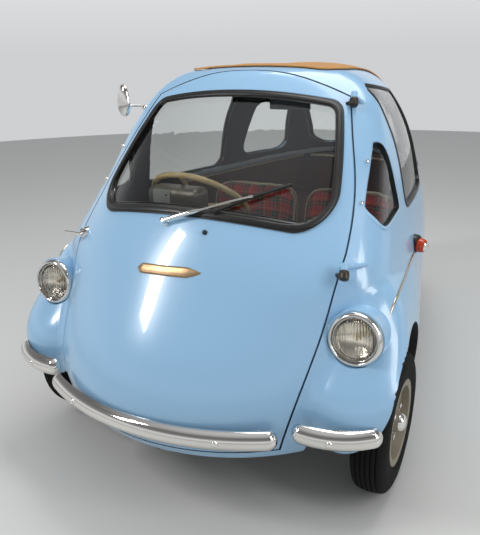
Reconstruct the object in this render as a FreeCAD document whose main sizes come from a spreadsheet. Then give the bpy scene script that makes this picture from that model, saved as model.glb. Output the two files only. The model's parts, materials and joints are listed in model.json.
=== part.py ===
import FreeCAD, Part
import math
import os
import Sketcher

# Bubble car with one front door and three wheels. Origin on the ground under the middle of the
# car's box; the car faces -Y, +X is the car's left side, +Z is up. All sizes in millimetres.

V = FreeCAD.Vector
X_AXIS = V(1, 0, 0)
Y_AXIS = V(0, 1, 0)
Z_AXIS = V(0, 0, 1)

SIZES = {
    # shell, door and glazing
    "body_wall": 24, "door_gap": 5, "pane_depth": 8, "pane_thickness": 4, "seal_width": 22,
    "seal_proud": 4, "floor_height": 240, "floor_thickness": 14, "door_foot": 265,
    "panel_joint": 0.3, "header_seam": 465, "roof_front": 405, "roof_rear": 440,
    "roof_half_width": 300, "roof_proud": 4, "roof_thickness": 14,
    # wheels and axles
    "track": 1220, "front_axle": 740, "rear_axle": 1020, "axle_height": 233,
    "tyre_radius": 233, "tyre_width": 112, "bead_radius": 128, "flange_radius": 141,
    "axle_radius": 14, "running_gap": 0.1, "drum_radius": 78, "hub_radius": 36,
    "arch_radius": 280, "arch_rise": 52, "arch_wall": 12, "well_inner": 430,
    "rear_arch_radius": 262, "rear_well_half": 100, "wing_blend": 45,
    # steering
    "kingpin_offset": 62, "kingpin_radius": 10, "knuckle_half": 50, "sleeve_radius": 20,
    "arm_thickness": 16, "steer_arm": 100, "rod_radius": 7, "eye_radius": 15,
    "wheel_rim_radius": 180, "wheel_rim_section": 11, "column_radius": 19, "column_lean": 40,
    "column_x": 160, "hub_y": 586, "hub_z": 819, "pod_x": 145, "pod_y": 735, "pod_low": 805,
    "pod_width": 200, "pod_depth": 90, "pod_height": 130,
    # lamps
    "lamp_x": 555, "lamp_y": 943, "lamp_z": 596, "lamp_radius": 76, "lamp_depth": 82,
    "lamp_ring": 81, "lamp_tilt": 8,
    # seats and load space
    "seat_front": 450, "seat_rear": 30, "seat_top": 450, "cushion_thickness": 90,
    "seat_half_width": 455, "back_height": 822, "back_thickness": 80, "back_lean": 9,
    "seat_split": 12, "shelf_height": 585, "shelf_thickness": 12, "shelf_front": 150,
    "engine_length": 280, "engine_width": 320, "engine_height": 240, "engine_front": 400,
    # bumpers
    "bumper_height": 62, "bumper_depth": 28, "bumper_wall": 5, "bumper_front": 1275, "bumper_middle": 338,
    "rear_bumper_height": 355, "tow_radius": 11,
}

doc = FreeCAD.newDocument("bubble_car")
car = doc.addObject("Spreadsheet::Sheet", "car")
for row, (word, number) in enumerate(SIZES.items(), start=1):
    car.set("A%d" % row, word)
    car.set("B%d" % row, str(number))
    car.setAlias("B%d" % row, word)
doc.recompute()


def size(word):
    """The number in the sheet's cell of this name."""
    return float(car.get(word))


def linked(text):
    """An expression in the sheet's words, with each word pointed at the sheet."""
    words = "".join(c if c.isalnum() or c == "_" else " " for c in text).split()
    for word in sorted(set(words) & set(SIZES), key=len, reverse=True):
        parts = text.split(word)
        joined = parts[0]
        for part in parts[1:]:
            inside = joined[-1:].isalnum() or joined[-1:] in ("_", ".") or part[:1].isalnum() or part[:1] == "_"
            joined += (word if inside else "car." + word) + part
        text = joined
    return text


def place(thing, at, direction=Z_AXIS):
    """Put a thing's origin at three expressions, with its own Z along a direction."""
    thing.Placement = FreeCAD.Placement(V(0, 0, 0), FreeCAD.Rotation(Z_AXIS, direction))
    for axis, text in zip("xyz", at):
        thing.setExpression(".Placement.Base." + axis, linked(str(text)))
    return thing


def cylinder(name, radius, length, at, direction=Z_AXIS):
    thing = doc.addObject("Part::Cylinder", name)
    thing.setExpression("Radius", linked(str(radius)))
    thing.setExpression("Height", linked(str(length)))
    return place(thing, at, direction)


def box(name, length, width, height, at):
    thing = doc.addObject("Part::Box", name)
    thing.setExpression("Length", linked(str(length)))
    thing.setExpression("Width", linked(str(width)))
    thing.setExpression("Height", linked(str(height)))
    return place(thing, at)


def fuse(name, *things):
    thing = doc.addObject("Part::MultiFuse", name)
    thing.Shapes = list(things)
    return thing


def cut(name, base, tool):
    thing = doc.addObject("Part::Cut", name)
    thing.Base = base
    thing.Tool = tool
    return thing


def group(name, *things):
    """Solids of one sub-part that don't touch."""
    thing = doc.addObject("Part::Compound", name)
    thing.Links = list(things)
    return thing


def mirrored(name, source):
    """The same thing on the car's other side."""
    thing = doc.addObject("Part::Mirroring", name)
    thing.Source = source
    thing.Base = V(0, 0, 0)
    thing.Normal = X_AXIS
    return thing


def pair(name, left):
    return group(name, left, mirrored(name + "_other_side", left))


def solid(name, shape):
    """A sub-part whose shape is worked out by this file's own functions."""
    thing = doc.addObject("Part::Feature", name)
    thing.Shape = shape
    return thing


# Body sections: level curves of the egg-shaped hull. Columns: height, nose, tail, half width,
# where it is widest, corner radius at the front, radius of the tail.
HULL = [
    (235, -1195, 1200, 575, -750, 250, 335),
    (340, -1238, 1240, 595, -758, 260, 345),
    (460, -1222, 1240, 603, -742, 250, 345),
    (600, -1137, 1195, 602, -717, 220, 345),
    (740, -1038, 1120, 588, -700, 190, 335),
    (880, -935, 1010, 550, -595, 180, 315),
    (1010, -808, 875, 520, -508, 150, 290),
    (1120, -678, 725, 482, -448, 120, 255),
    (1210, -572, 555, 435, -400, 85, 215),
    (1268, -514, 400, 375, -360, 70, 180),
    (1300, -475, 250, 300, -330, 70, 150),
    (1314, -400, 120, 200, -280, 60, 100),
]

# Wing sections, level curves about the wing's own middle line. Same columns, then the middle.
WING = [
    (235, -1005, 250, 138, -900, 72, 28, 530),
    (340, -1050, 300, 151, -940, 78, 30, 532),
    (440, -1038, 310, 154, -930, 78, 30, 532),
    (530, -965, 270, 149, -860, 76, 28, 528),
    (620, -905, 200, 135, -805, 70, 26, 520),
    (695, -845, 70, 105, -765, 56, 24, 508),
    (745, -765, -120, 62, -717, 34, 18, 496),
]
WING_TURN = 5


def egg(height, nose, tail, half, widest, corner, stern):
    """Closed level curve of six tangent arcs: front, two corners, two long sides, tail."""
    ahead = widest - nose
    behind = tail - widest
    front = (half ** 2 + ahead ** 2 - 2 * half * corner) / (2 * (ahead - corner))
    side = (half ** 2 + behind ** 2 - 2 * behind * stern) / (2 * (half - stern))
    front_centre = V(0, nose + front, height)
    corner_centre = V(half - corner, widest, height)
    side_centre = V(half - side, widest, height)
    stern_centre = V(0, tail - stern, height)
    shoulder = front_centre + (corner_centre - front_centre).normalize() * front
    hip = side_centre + (stern_centre - side_centre).normalize() * side
    wide = V(half, widest, height)

    def halfway(centre, first, second, radius):
        middle = (first - centre).normalize() + (second - centre).normalize()
        return centre + middle.normalize() * radius

    def other(point):
        return V(-point.x, point.y, point.z)

    corner_mid = halfway(corner_centre, shoulder, wide, corner)
    side_mid = halfway(side_centre, wide, hip, side)
    arcs = [
        Part.Arc(other(shoulder), V(0, nose, height), shoulder),
        Part.Arc(shoulder, corner_mid, wide),
        Part.Arc(wide, side_mid, hip),
        Part.Arc(hip, V(0, tail, height), other(hip)),
        Part.Arc(other(hip), other(side_mid), other(wide)),
        Part.Arc(other(wide), other(corner_mid), other(shoulder)),
    ]
    return Part.Wire([arc.toShape() for arc in arcs])


def inset_rows(rows, inset):
    """The same sections moved inwards along the surface's own slope."""
    moved = []
    for index, row in enumerate(rows):
        below = rows[max(index - 1, 0)]
        above = rows[min(index + 1, len(rows) - 1)]
        growth = (above[2] - above[1] + above[3]) - (below[2] - below[1] + below[3])
        slope = growth / 3 / (above[0] - below[0])
        across = inset / math.hypot(1, slope)
        down = -across * slope
        height, nose, tail, half, widest, corner, stern = row[:7]
        moved.append((height - down, nose + across, tail - across, half - across, widest,
                      corner - across, stern - across))
    return moved


def hull(inset, deeper=0):
    """Closed egg-shaped solid of the body, inset from the outer skin."""
    rows = inset_rows(HULL, inset)
    if deeper:
        rows[0] = (rows[0][0] - deeper,) + rows[0][1:]
    return Part.makeLoft([egg(*row) for row in rows], True, False)


def wing(side):
    """Front wing's outer form, turned so that it fades into the body behind the wheel."""
    sections = []
    for row in WING:
        section = egg(*row[:7])
        section.rotate(V(0, -size("front_axle"), 0), Z_AXIS, WING_TURN)
        section.translate(V(row[7], 0, 0))
        sections.append(section)
    shape = Part.makeLoft(sections, True, False)
    return shape if side > 0 else shape.mirror(V(0, 0, 0), X_AXIS)


def outline(corners, grow=0):
    """Flat wire in XY. Corner columns: x, y, and the middle of an arc to the next, or None."""
    edges = []
    for index, (x, y, through) in enumerate(corners):
        following = corners[(index + 1) % len(corners)]
        start = V(x, y, 0)
        end = V(following[0], following[1], 0)
        if through:
            edges.append(Part.Arc(start, V(through[0], through[1], 0), end).toShape())
        else:
            edges.append(Part.makeLine(start, end))
    wire = Part.Wire(edges)
    return wire.makeOffset2D(grow, 2) if grow else wire


def prism(corners, radii, grow, origin, across, up, length):
    """Straight prism on an outline in the plane of across and up, its upright edges rounded."""
    face = Part.Face(outline(corners, grow))
    block = face.extrude(V(0, 0, length))
    for (x, y, _), radius in zip(corners, radii):
        rounded = radius + grow
        if radius <= 0 or rounded <= 0.5:
            continue
        upright = [e for e in block.Edges
                   if abs(e.BoundBox.ZLength - length) < 0.01 and e.BoundBox.XLength < 0.01
                   and e.BoundBox.YLength < 0.01]
        nearest = min(upright, key=lambda e: math.hypot(e.BoundBox.XMin - x, e.BoundBox.YMin - y))
        block = block.makeFillet(rounded, [nearest])
    out = across.cross(up)
    turn = FreeCAD.Matrix(across.x, up.x, out.x, origin.x, across.y, up.y, out.y, origin.y,
                          across.z, up.z, out.z, origin.z, 0, 0, 0, 1)
    block.Placement = FreeCAD.Placement(turn)
    return block


# Outlines seen from the front, (x, z): the door's seam, the windscreen and the rear window.
DOOR_SEAM = [
    (-385, "foot", None), (385, "foot", (455, 560)), (480, 800, (460, 945)), (424, 1066, None),
    (306, 1400, None), (-306, 1400, None), (-424, 1066, (-460, 945)), (-480, 800, (-455, 560)),
]
WINDSCREEN = [
    (-438, 838, (0, 892)), (438, 838, (411, 1015)), (352, 1208, (0, 1243)), (-352, 1208, (-411, 1015)),
]
REAR_WINDOW = [(-262, 868, None), (262, 868, None), (205, 1165, None), (-205, 1165, None)]
ENGINE_LID = [(-215, 520, None), (215, 520, None), (215, 765, None), (-215, 765, None)]

# Outlines seen from the side, (y, z), and along the slanting rear quarter, (across, z).
VENT_WINDOW = [(-699, 905, None), (-677, 847, None), (-465, 868, None), (-518, 1120, None)]
SIDE_WINDOW = [(-368, 848, None), (175, 838, None), (125, 1205, None), (-413, 1262, None)]
QUARTER_WINDOW = [(-190, 868, None), (165, 868, None), (105, 1125, None), (-125, 1140, None)]
QUARTER_ANGLE = 38
QUARTER_MIDDLE = (300, 440)


def front_prism(corners, radii, grow, start, length):
    """Prism on an (x, z) outline, from a value of y towards the front."""
    return prism(corners, radii, grow, V(0, start, 0), X_AXIS, Z_AXIS, length)


def seam_corners():
    foot = size("door_foot")
    return [(x, foot if z == "foot" else z, through) for x, z, through in DOOR_SEAM]


def door_zone(grow):
    """Everything in front of the header seam and inside the door's seam."""
    sides = front_prism(seam_corners(), [0] * 8, grow, -300, 1200)
    seam = -size("header_seam") + grow
    reach = 600
    drop = 20
    edges = [
        Part.Arc(V(-reach, seam - drop, 0), V(0, seam, 0), V(reach, seam - drop, 0)).toShape(),
        Part.makeLine(V(reach, seam - drop, 0), V(reach, -1500, 0)),
        Part.makeLine(V(reach, -1500, 0), V(-reach, -1500, 0)),
        Part.makeLine(V(-reach, -1500, 0), V(-reach, seam - drop, 0)),
    ]
    ahead = Part.Face(Part.Wire(edges)).extrude(V(0, 0, 1500))
    return sides.common(ahead)


def side_prism(corners, radii, grow, side):
    """Prism on a (y, z) outline through one side of the body."""
    shape = prism(corners, radii, grow, V(150, 0, 0), Y_AXIS, Z_AXIS, 600)
    return shape if side > 0 else shape.mirror(V(0, 0, 0), X_AXIS)


def quarter_prism(grow, side):
    angle = math.radians(QUARTER_ANGLE)
    across = V(-math.sin(angle), math.cos(angle), 0)
    origin = V(QUARTER_MIDDLE[0] - 60, QUARTER_MIDDLE[1] - 60, 0)
    shape = prism(QUARTER_WINDOW, [55, 55, 40, 40], grow, origin, across, Z_AXIS, 400)
    return shape if side > 0 else shape.mirror(V(0, 0, 0), X_AXIS)


def rear_prism(corners, radii, grow, start, length):
    """Prism on an (x, z) outline, from a value of y towards the tail."""
    return prism(corners, radii, grow, V(0, start, 0), V(-1, 0, 0), Z_AXIS, length)


def roof_prism(grow):
    front = -size("roof_front") - grow
    rear = size("roof_rear") + grow
    half = size("roof_half_width") + grow
    corners = [(-half, front, None), (half, front, None), (half, rear, None), (-half, rear, None)]
    return prism(corners, [90, 90, 150, 150], 0, V(0, 0, 1150), X_AXIS, Y_AXIS, 200)


def band(inner, outer, height, low):
    """Upright strip between two plan arcs of three points each."""
    edges = [
        Part.Arc(*[V(x, y, 0) for x, y in outer]).toShape(),
        Part.makeLine(V(*outer[2], 0), V(*inner[2], 0)),
        Part.Arc(*[V(x, y, 0) for x, y in reversed(inner)]).toShape(),
        Part.makeLine(V(*inner[0], 0), V(*outer[0], 0)),
    ]
    strip = Part.Face(Part.Wire(edges)).extrude(V(0, 0, height))
    strip.translate(V(0, 0, low))
    return strip


def turned(profile, at, direction):
    """Solid of revolution. Profile rows: along the axis, radius; closed along the axis."""
    points = [V(radius, 0, along) for along, radius in profile]
    face = Part.Face(Part.makePolygon(points + [points[0]]))
    shape = face.revolve(V(0, 0, 0), Z_AXIS, 360)
    shape.Placement = FreeCAD.Placement(at, FreeCAD.Rotation(Z_AXIS, direction))
    return shape


def first_hit(shape, start, direction):
    """Where a straight line from a point first meets a shape."""
    line = Part.makeLine(start, start + direction * 2000)
    found = shape.common(line)
    return min((vertex.Point for vertex in found.Vertexes), key=lambda p: (p - start).Length)


def rod(points, radius):
    """Round bar through points, with a ball at each bend."""
    pieces = [Part.makeCylinder(radius, (b - a).Length, a, b - a) for a, b in zip(points, points[1:])]
    balls = [Part.makeSphere(radius, point) for point in points[1:-1]]
    return pieces[0].fuse(pieces[1:] + balls)


# Shell, with its wings, wheel houses, openings and pockets.

outer_hull = hull(0)
cabin = hull(size("body_wall"), deeper=20)
wings = [wing(1), wing(-1)]
arch_middle = size("axle_height") + size("arch_rise")


def wheel_house(radius, inner, side):
    """Round space above a front wheel, from the inner wall outwards."""
    start = V(side * inner, -size("front_axle"), arch_middle)
    return Part.makeCylinder(radius, 320, start, V(side, 0, 0))


def rear_house(radius, half):
    start = V(-half, size("rear_axle"), size("axle_height"))
    return Part.makeCylinder(radius, 2 * half, start, X_AXIS)


arch_wall = size("arch_wall")
houses = [wheel_house(size("arch_radius") + arch_wall, size("well_inner") - arch_wall, side)
          for side in (1, -1)]
houses.append(rear_house(size("rear_arch_radius") + arch_wall, size("rear_well_half") + arch_wall))
wells = [wheel_house(size("arch_radius"), size("well_inner"), side) for side in (1, -1)]
wells.append(rear_house(size("rear_arch_radius"), size("rear_well_half")))

lamp_direction = V(0, -math.cos(math.radians(size("lamp_tilt"))), math.sin(math.radians(size("lamp_tilt"))))


def lamp_face(side):
    return V(side * size("lamp_x"), -size("lamp_y"), size("lamp_z"))


def lamp_pod(radius, side):
    """Cylinder from the lamp's face back into the wing."""
    start = lamp_face(side) - lamp_direction * size("lamp_depth")
    return Part.makeCylinder(radius, size("lamp_depth"), start, lamp_direction)


gap = size("door_gap")
joint = size("panel_joint")


def blended(base, added, radius):
    """Two skins as one, with the line where they meet rounded."""
    both = base.fuse(added)
    line = base.section(added)
    line_edges = []
    for edge in both.Edges:
        middle = edge.valueAt((edge.FirstParameter + edge.LastParameter) / 2)
        if line.distToShape(Part.Vertex(middle))[0] < 0.5 and middle.z > HULL[0][0] + 1:
            line_edges.append(edge)
    return both.makeFillet(radius, line_edges)


body_skin = outer_hull
for one_wing in wings:
    body_skin = blended(body_skin, one_wing, size("wing_blend"))
whole = body_skin.fuse([lamp_pod(size("lamp_ring") + 3, side) for side in (1, -1)])
shell = whole.cut(cabin.cut(houses)).cut(wells)
door_cut = door_zone(gap / 2).cut(hull(size("body_wall") + gap, deeper=20))
shell = shell.cut(door_cut)
WINDOW_RADII = {"vent": [30, 22, 28, 22], "side": [36, 55, 90, 30], "rear": [60, 60, 50, 50],
                "lid": [40, 40, 40, 40]}
holes = []
for side in (1, -1):
    holes.append(side_prism(VENT_WINDOW, WINDOW_RADII["vent"], 0, side))
    holes.append(side_prism(SIDE_WINDOW, WINDOW_RADII["side"], 0, side))
    holes.append(quarter_prism(0, side))
    holes.append(lamp_pod(size("lamp_radius") + joint, side))
    holes.append(Part.makeCylinder(size("lamp_ring") + joint, 120, lamp_face(side), lamp_direction))
holes.append(rear_prism(REAR_WINDOW, WINDOW_RADII["rear"], 0, 500, 800))
lid_start = 800
holes.append(rear_prism(ENGINE_LID, WINDOW_RADII["lid"], gap / 2, lid_start, 500))
holes.append(roof_prism(0))
shell = shell.cut(holes)
body_shell = solid("body_shell", shell.Solids[0])

floor = Part.makeBox(1400, 2600, size("floor_thickness"), V(-700, -1300, size("floor_height")))
tight = hull(size("body_wall") + joint, deeper=20)
house_rooms = [wheel_house(size("arch_radius") + arch_wall + joint,
                           size("well_inner") - arch_wall - joint, side) for side in (1, -1)]
house_rooms.append(rear_house(size("rear_arch_radius") + arch_wall + joint,
                              size("rear_well_half") + arch_wall + joint))
tow_plate = Part.makeBox(14, 60, 46, V(-7, -1150, size("floor_height") - 46))
tow_hole = Part.makeCylinder(size("tow_radius"), 60, V(-30, -1120, size("floor_height") - 24), X_AXIS)
floor_pan = solid("floor_pan", floor.common(tight).cut(house_rooms).fuse(tow_plate).cut(tow_hole))

roof_sheet = hull(-size("roof_proud")).cut(hull(size("roof_thickness") - size("roof_proud")))
fabric_roof = solid("fabric_roof", roof_sheet.common(roof_prism(-joint)))

pane_outer = hull(size("pane_depth"))
pane_inner = hull(size("pane_depth") + size("pane_thickness"))
pane_sheet = pane_outer.cut(pane_inner)
side_panes = []
for side in (1, -1):
    side_panes.append(pane_sheet.common(side_prism(VENT_WINDOW, WINDOW_RADII["vent"], -joint, side)))
    side_panes.append(pane_sheet.common(side_prism(SIDE_WINDOW, WINDOW_RADII["side"], -joint, side)))
    side_panes.append(pane_sheet.common(quarter_prism(-joint, side)))
side_windows = solid("side_windows", Part.makeCompound([p.Solids[0] for p in side_panes]))
rear_window = solid("rear_window", pane_sheet.common(
    rear_prism(REAR_WINDOW, WINDOW_RADII["rear"], -joint, 500, 800)))

# The front door: panel, glass and its seal.

screen_radii = [85, 85, 62, 62]
screen_hole = front_prism(WINDSCREEN, screen_radii, 0, -300, 1200)
door_skin = outer_hull.cut(cabin)
door_panel = solid("door_panel", door_skin.common(door_zone(-gap / 2)).cut(screen_hole))
seal_sheet = hull(-size("seal_proud")).cut(hull(size("body_wall") - 6))
seal_ring = front_prism(WINDSCREEN, screen_radii, -joint, -300, 1200).cut(
    front_prism(WINDSCREEN, screen_radii, -size("seal_width"), -310, 1220))
windscreen_seal = solid("windscreen_seal", seal_sheet.common(seal_ring))
windscreen = solid("windscreen", pane_sheet.common(
    front_prism(WINDSCREEN, screen_radii, -size("seal_width") - joint, -300, 1200)))

# Lid over the engine at the tail.

lid_plate = door_skin.common(rear_prism(ENGINE_LID, WINDOW_RADII["lid"], -gap / 2, lid_start, 500))
LID_HINGE_X = 120
LID_BARREL = 7
LID_HINGE_Z = 778
lid_skin_y = first_hit(outer_hull, V(LID_HINGE_X - 15, 1500, LID_HINGE_Z), V(0, -1, 0)).y
lid_hinge_y = lid_skin_y + 2 * LID_BARREL
lid_parts = [lid_plate]
lid_posts = []
for side in (1, -1):
    at = V(side * LID_HINGE_X, lid_hinge_y, LID_HINGE_Z)
    barrel = Part.makeCylinder(LID_BARREL, 30, at - X_AXIS * 15, X_AXIS)
    strap = Part.makeBox(30, 5, 46, at + V(-15, 2, -46))
    lid_parts.append(barrel.fuse(strap).cut(outer_hull))
    post_at = at + X_AXIS * (side * 26)
    post = Part.makeCylinder(LID_BARREL, 20, post_at - X_AXIS * 10, X_AXIS)
    foot = Part.makeBox(20, 60, 8, post_at + V(-10, -60, -1))
    lid_posts.append(post.fuse(foot).cut(outer_hull))
engine_lid = solid("engine_lid", lid_parts[0].fuse(lid_parts[1:]).removeSplitter())

# Door hinges: knuckles on an axis outside the skin, one half on the body and one on the door.

HINGE_LOW = V(500, -893, 775)
HINGE_HIGH = V(388, -502, 1217)
hinge_axis = (HINGE_HIGH - HINGE_LOW).normalize()
knuckle = 22
# Columns: centre of the hinge, point in the body that its half reaches, point in the door.
HINGES = [
    (HINGE_LOW, V(535, -800, 770), V(440, -840, 735)),
    (HINGE_HIGH, V(425, -445, 1180), V(335, -480, 1190)),
]


def hinge_half(centre, start, target):
    """A knuckle on the hinge's axis and the arm that carries it from the skin."""
    middle = centre + hinge_axis * (start + knuckle / 2)
    barrel = Part.makeCylinder(11, knuckle, centre + hinge_axis * start, hinge_axis)
    reach = target - middle
    arm = Part.makeCylinder(7, reach.Length, middle, reach)
    return barrel.fuse(arm).cut(body_skin)


hinge_posts = [hinge_half(centre, 0.5, body) for centre, body, _ in HINGES]
hinge_leaves = [hinge_half(centre, -0.5 - knuckle, door) for centre, _, door in HINGES]
body_hinges = solid("body_hinges", Part.makeCompound(
    [h.Solids[0] for h in hinge_posts + lid_posts]))
door_hinges = solid("door_hinges", Part.makeCompound([h.Solids[0] for h in hinge_leaves]))

# Bumpers: the middle one rides on the door, a short one stands on each wing.


def bumper_bar(plan, middle):
    """Rounded channel bent along a plan arc through three points, with ball ends."""
    start, through, end = [V(x, y, middle) for x, y in plan]
    edge = Part.Arc(start, through, end).toShape()
    centre = edge.Curve.Center
    rise = size("bumper_height") / 2
    depth = size("bumper_depth")
    wall = size("bumper_wall")
    outward = (start - centre).normalize()
    tip = start
    back = tip - outward * depth
    up = V(0, 0, 1)
    rim = Part.Wire([
        Part.Arc(back - up * rise, tip, back + up * rise).toShape(),
        Part.makeLine(back + up * rise, back + up * (rise - wall)),
        Part.Arc(back + up * (rise - wall), tip - outward * wall, back - up * (rise - wall)).toShape(),
        Part.makeLine(back - up * (rise - wall), back - up * rise),
    ])
    swing = math.degrees(edge.Length / edge.Curve.Radius)
    turn = outward.cross(end - centre).z
    bar = Part.Face(rim).revolve(centre, Z_AXIS if turn > 0 else V(0, 0, -1), swing)
    ball = (rise ** 2 + depth ** 2) / (2 * depth)
    ends = []
    for point, away in ((start, -1), (end, 1)):
        out = (point - centre).normalize()
        along = Z_AXIS.cross(out) * (away if turn > 0 else -away)
        nose = Part.makeSphere(ball, point - out * ball)
        keep = Part.makeBox(4 * ball, 4 * ball, 4 * ball, V(0, -2 * ball, -2 * ball))
        keep.Placement = FreeCAD.Placement(point - out * depth, FreeCAD.Rotation(along, out, Z_AXIS, "XYZ"))
        front_half = Part.makeBox(4 * ball, 4 * ball, 4 * ball, V(-2 * ball, 0, -2 * ball))
        front_half.Placement = FreeCAD.Placement(point - out * depth, FreeCAD.Rotation(along, out, Z_AXIS, "XYZ"))
        ends.append(nose.common(keep).common(front_half))
    return bar.fuse(ends)


def bumper_stay(x, y, middle, inwards, length):
    """Round stay from inside a bumper to the skin."""
    stay = Part.makeCylinder(9, length, V(x, y, middle), V(0, inwards, 0)).cut(body_skin)
    return min(stay.Solids, key=lambda s: abs(s.CenterOfMass.y - y))


bumper_tip = -size("bumper_front")
bumper_middle = size("bumper_middle")
door_bar = bumper_bar([(-390, bumper_tip + 101), (0, bumper_tip), (390, bumper_tip + 101)], bumper_middle)
door_stays = [bumper_stay(x, bumper_tip + 44, bumper_middle, 1, 130) for x in (-255, 255)]
door_bumper = solid("door_bumper", door_bar.fuse(door_stays))

wing_bar = bumper_bar([(456, -1122), (569, -1106), (660, -1050)], bumper_middle + 12)
wing_stay = bumper_stay(545, -1109, bumper_middle + 12, 1, 90)
wing_bumper = solid("wing_bumper_left", wing_bar.fuse(wing_stay))
wing_bumpers = pair("wing_bumpers", wing_bumper)

rear_turn = math.radians(50)
rear_round = 380
rear_centre = size("bumper_front") - rear_round


def on_rear_arc(angle):
    return (rear_round * math.sin(angle), rear_centre + rear_round * math.cos(angle))


rear_bar = bumper_bar([on_rear_arc(-rear_turn), on_rear_arc(0), on_rear_arc(rear_turn)],
                      size("rear_bumper_height"))
rear_stays = [bumper_stay(x, rear_centre + 330, size("rear_bumper_height"), -1, 200) for x in (185, -185)]
rear_bumper = solid("rear_bumper", rear_bar.fuse(rear_stays))

# Lamps, plate, handle, mirrors and wiper.

LAMP_BOWL = [(0, 0), (0, 42), (30, "lamp"), ("depth", "lamp"), ("depth", "ring"), (94, "ring"),
             (94, 70), (84, 66), (84, 0)]
named = {"lamp": size("lamp_radius"), "ring": size("lamp_ring"), "depth": size("lamp_depth")}
bowl_profile = [tuple(named.get(number, number) for number in row) for row in LAMP_BOWL]
LENS = [(84.3, 0), (84.3, 65.5), (92, 60), (97, 42), (100, 20), (100, 0)]
lamp_back = lamp_face(1) - lamp_direction * size("lamp_depth")
headlamp_bowls = pair("headlamp_bowls", solid("headlamp_bowl_left",
                                              turned(bowl_profile, lamp_back, lamp_direction)))
headlamp_lenses = pair("headlamp_lenses", solid("headlamp_lens_left",
                                                turned(LENS, lamp_back, lamp_direction)))


def skin_lamp(start, direction, profile):
    """Small lamp whose foot is cut to the skin it stands on."""
    foot = first_hit(body_skin, start, direction)
    shape = turned(profile, foot, V(0, 0, 0) - direction).cut(body_skin)
    return max(shape.Solids, key=lambda s: s.Volume)


INDICATOR = [(-20, 0), (-20, 25), (12, 25), (15, 20), (34, 17), (40, 9), (42, 0)]
TAIL_LAMP = [(-40, 0), (-40, 36), (10, 36), (12, 31), (30, 29), (36, 18), (38, 0)]
indicator_lamps = pair("indicator_lamps", solid("indicator_left", skin_lamp(
    V(900, -310, 702), V(-1, 0, 0), INDICATOR)))
tail_lamps = pair("tail_lamps", solid("tail_lamp_left", skin_lamp(
    V(262, 1500, 600), V(0, -1, 0), TAIL_LAMP)))

plate = Part.makeBox(300, 6, 96, V(-150, 1249, 408))
plinth = Part.makeBox(90, 80, 40, V(-45, 1170, 436)).cut(outer_hull)
number_plate = solid("number_plate", plate.fuse(max(plinth.Solids, key=lambda s: s.CenterOfMass.y)))

handle_foot = first_hit(outer_hull, V(-452, -2000, 775), Y_AXIS)
rose = Part.makeCylinder(17, 40, handle_foot + V(0, -14, 0), Y_AXIS).cut(outer_hull)
neck = Part.makeCylinder(7, 20, handle_foot + V(0, -32, 0), Y_AXIS)
lever = Part.makeBox(80, 9, 13, handle_foot + V(-68, -38, -6.5))
door_handle = solid("door_handle", lever.makeFillet(3, lever.Edges).fuse([neck, rose.Solids[0]]))

glass_out = V(0, -0.74, 0.67)


def on_glass(x, z, clearance):
    """Point in front of the skin at this place seen from the front."""
    return first_hit(outer_hull, V(x, -2000, z), Y_AXIS) + glass_out * clearance


# Wiper, as (x, z) seen from the front: where it turns, a bend of the arm, and its blade.
WIPER_PIVOT = (-61, 868)
WIPER_BEND = (64, 908)
WIPER_BLADE = [(94, 905), (190, 943), (285, 976)]
blade_radius = 4
blade_clear = 10
spindle = Part.makeCylinder(8, 40, on_glass(*WIPER_PIVOT, 20), V(0, 0, 0) - glass_out).cut(outer_hull)
blade = rod([on_glass(x, z, blade_clear) for x, z in WIPER_BLADE], blade_radius)
arm_route = [on_glass(*WIPER_PIVOT, 16), on_glass(*WIPER_BEND, 18), on_glass(*WIPER_BLADE[1], 17)]
arm = rod(arm_route, 3)
clip = Part.makeCylinder(3, 10, on_glass(*WIPER_BLADE[1], blade_clear), glass_out)
wiper = solid("wiper", arm.fuse([blade, clip, max(spindle.Solids, key=lambda s: s.CenterOfMass.z)]))

mirror_foot = first_hit(outer_hull, V(-800, -478, 1168), X_AXIS)
MIRROR_HEAD = V(-505, -530, 1186)
head = prism([(-38, -40, None), (38, -52, None), (44, 40, None), (-30, 56, None)], [14, 14, 16, 16],
             0, MIRROR_HEAD, V(-0.94, 0.34, 0), Z_AXIS, 16)
stem_reach = mirror_foot + V(12, 0, 0) - (MIRROR_HEAD + V(0, 8, 0))
stem = Part.makeCylinder(4.5, stem_reach.Length, MIRROR_HEAD + V(0, 8, 0), stem_reach).cut(outer_hull)
pad = Part.makeCylinder(12, 20, mirror_foot + V(-6, 0, 0), X_AXIS).cut(outer_hull)
door_mirror = solid("door_mirror", head.fuse([stem.Solids[0], pad.Solids[0]]))

inner_mirror = Part.makeBox(150, 12, 46, V(75, -468, 1172))
inner_stem = Part.makeCylinder(4, 120, V(150, -462, 1200), V(0, -0.35, 0.94)).common(cabin)
interior_mirror = solid("interior_mirror", inner_mirror.makeFillet(5, inner_mirror.Edges).fuse(inner_stem))

# Wheels: steel disc and drum in one turned piece, and a plain tyre on it.

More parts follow.
